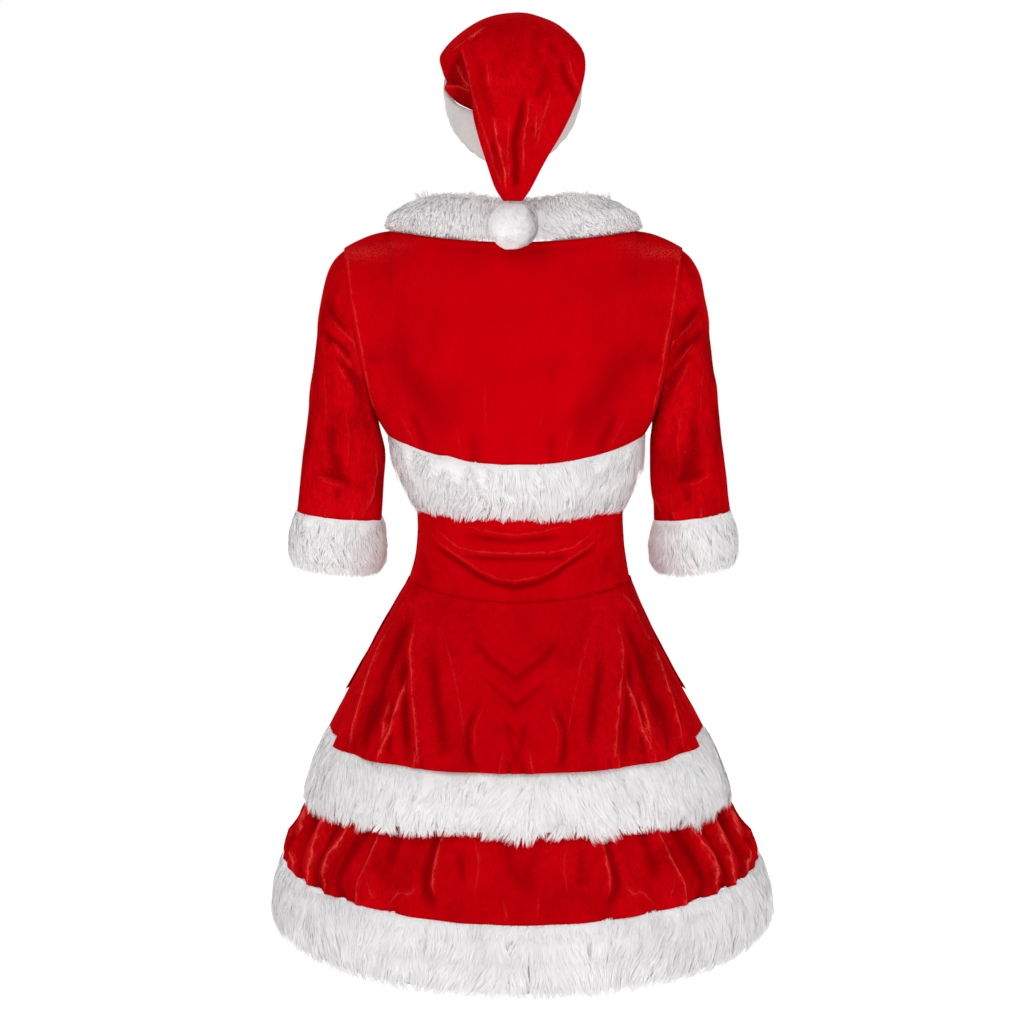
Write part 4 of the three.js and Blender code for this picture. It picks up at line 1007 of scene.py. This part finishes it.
def nearest_head(points, strands, random):
    """Which group each strand belongs to, for groups of about so many strands."""
    count = max(int(len(points) / max(strands, 1)), 1)
    heads = points[random.choice(len(points), count, replace=False)]
    tree = kdtree.KDTree(count)
    for i, head in enumerate(heads):
        tree.insert(head, i)
    tree.balance()
    return np.array([tree.find(point)[1] for point in points])


def gathered_tips(tips, lock, share, random):
    """Tips drawn towards the middle of their lock."""
    locks = lock.max() + 1
    total = np.zeros((locks, 3))
    np.add.at(total, lock, tips)
    middle = total / np.maximum(np.bincount(lock, minlength=locks), 1)[:, None]
    pull = np.clip(random.normal(share, 0.15, len(tips)), 0, 0.9)
    return tips + (middle[lock] - tips) * pull[:, None]


def strand_mesh(name, roots, bends, tips, facing, shading, tone, width):
    """Joined ribbons that narrow to a point, one along each strand's curve, shaded as one soft pile."""
    count = len(roots)
    middles = roots * 0.2 + bends * 0.5 + tips * 0.3
    half = unit(np.cross(tips - roots, facing)) * (width / 2)[:, None]
    points = np.stack([roots - half * 0.8, roots + half * 0.8, middles - half, middles + half, tips], axis=1)
    strand_points, strip, point = 5, [0, 1, 3, 2], [2, 3, 4]
    ribbon = np.array(strip + point)
    corners = (ribbon + strand_points * np.arange(count)[:, None]).ravel()
    starts = (np.array([0, len(strip)]) + len(ribbon) * np.arange(count)[:, None]).ravel()
    mesh = bpy.data.meshes.new(name)
    mesh.vertices.add(count * strand_points)
    mesh.vertices.foreach_set("co", points.astype(np.float32).ravel())
    mesh.loops.add(len(corners))
    mesh.loops.foreach_set("vertex_index", corners.astype(np.int32))
    mesh.polygons.add(len(starts))
    mesh.polygons.foreach_set("loop_start", starts.astype(np.int32))
    mesh.update(calc_edges=True)
    mesh.shade_smooth()
    mesh.normals_split_custom_set_from_vertices(np.repeat(shading, strand_points, axis=0))
    # Painted shade: roots darker and tips a little lighter, as shade deepens towards the roots of the pile
    painted_root_shade = np.array([-0.22, -0.22, 0, 0, 0.08])
    keep_value(mesh, "tone", np.clip(tone[:, None] + painted_root_shade, 0, 1).ravel())
    return mesh


def fur_band(band, finish, seed):
    """A band's backing with its pile."""
    random = np.random.default_rng(seed)
    backing = fur_backing(band, finish)
    roots, bends, tips, facing, tone = comb(band, random)
    tilt = unit(facing + random.normal(0, 0.15, facing.shape))
    width = min(STRAND_COVER / band["density"], WIDEST_STRAND) * MM * random.uniform(0.7, 1.3, len(roots))
    name = band["piece"] + "_pile"
    pile = piece_from_mesh(name, strand_mesh(name, roots, bends, tips, tilt, tilt, tone, width), finish)
    dress_up(backing, band["node"])
    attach(pile, BODY)


# Pompom and hat band
def pompom(finish):
    """The pompom: a padded ball under short curls that lie round it."""
    random = np.random.default_rng(31)
    low, high = (np.array(corner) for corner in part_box("hat_pompom"))
    middle = (low + high) / 2
    ball = rounded_copy("hat_pompom", "pompom_ball", 1, finish)
    points = mesh_points(ball.data)
    set_points(ball.data, middle + (points - middle) * POMPOM_CORE)
    keep_value(ball.data, "tone", np.full(len(points), 0.6))
    points, _ = scattered("hat_pompom", POMPOM_DENSITY, random)
    out = unit(points - middle)
    reach = np.linalg.norm(points - middle, axis=1)
    swirl = rumple(points, 0.016, 5)
    across = unit(np.cross(out, np.stack([swirl, random.normal(0, 0.5, len(points)), 1 + swirl], axis=1)))
    length = POMPOM_CURL * random.uniform(0.75, 1.2, len(points))
    crown = reach * random.uniform(0.93, 0.97, len(points))
    tips = middle + out * crown[:, None] + across * (length * 0.4)[:, None]
    roots = tips - across * (length * 0.8)[:, None] - out * (length * 0.4)[:, None]
    bends = (roots + tips) / 2 + out * (length * 0.22)[:, None]
    tone = np.clip(random.normal(1.0, 0.06, len(points)), 0, 1.0)
    soft = unit(out + random.normal(0, 0.1, out.shape))
    width = 0.7 * MM * random.uniform(0.7, 1.3, len(points))
    strands = strand_mesh("pompom_pile", roots, bends, tips, out, soft, tone, width)
    pile = piece_from_mesh("pompom_pile", strands, finish)
    dress_up(ball, "hat_pompom")
    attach(pile, BODY)


def hat_band(finish):
    """The hat's smooth short-plush band."""
    band = rounded_copy("hat_band", "hat_band_plush", 2, finish)
    points, normals = mesh_points(band.data), mesh_normals(band.data)
    set_points(band.data, points + normals * (0.0005 * rumple(points, 0.02, 9))[:, None])
    keep_value(band.data, "tone", np.full(len(points), 0.35))
    dress_up(band, "hat_band")


def dress_up(piece, node):
    """A new piece rides with the costume and stands for its solid, which is hidden."""
    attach(piece, BODY)
    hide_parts(node)


place_camera()
set_up_studio()
velvet = velvet_finish()
fur = fur_finish("fur", FUR_SHADE, FUR_LIGHT, FUR_TIP)
plush = fur_finish("plush", PLUSH_SHADE, PLUSH_LIGHT, PLUSH_TIP)
for seed, panel in enumerate(VELVET_PANELS):
    cloth = velvet_panel(panel, velvet, seed)
    dress_up(cloth, panel["node"])
for seed, side in enumerate(("left", "right")):
    cloth = velvet_sleeve(side, velvet, 20 + seed)
    dress_up(cloth, f"sleeve_{side}")
cloth = velvet_hat(velvet)
dress_up(cloth, "hat_crown")
for seed, band in enumerate(FUR_BANDS):
    fur_band(band, fur, 40 + seed)
pompom(fur)
hat_band(plush)
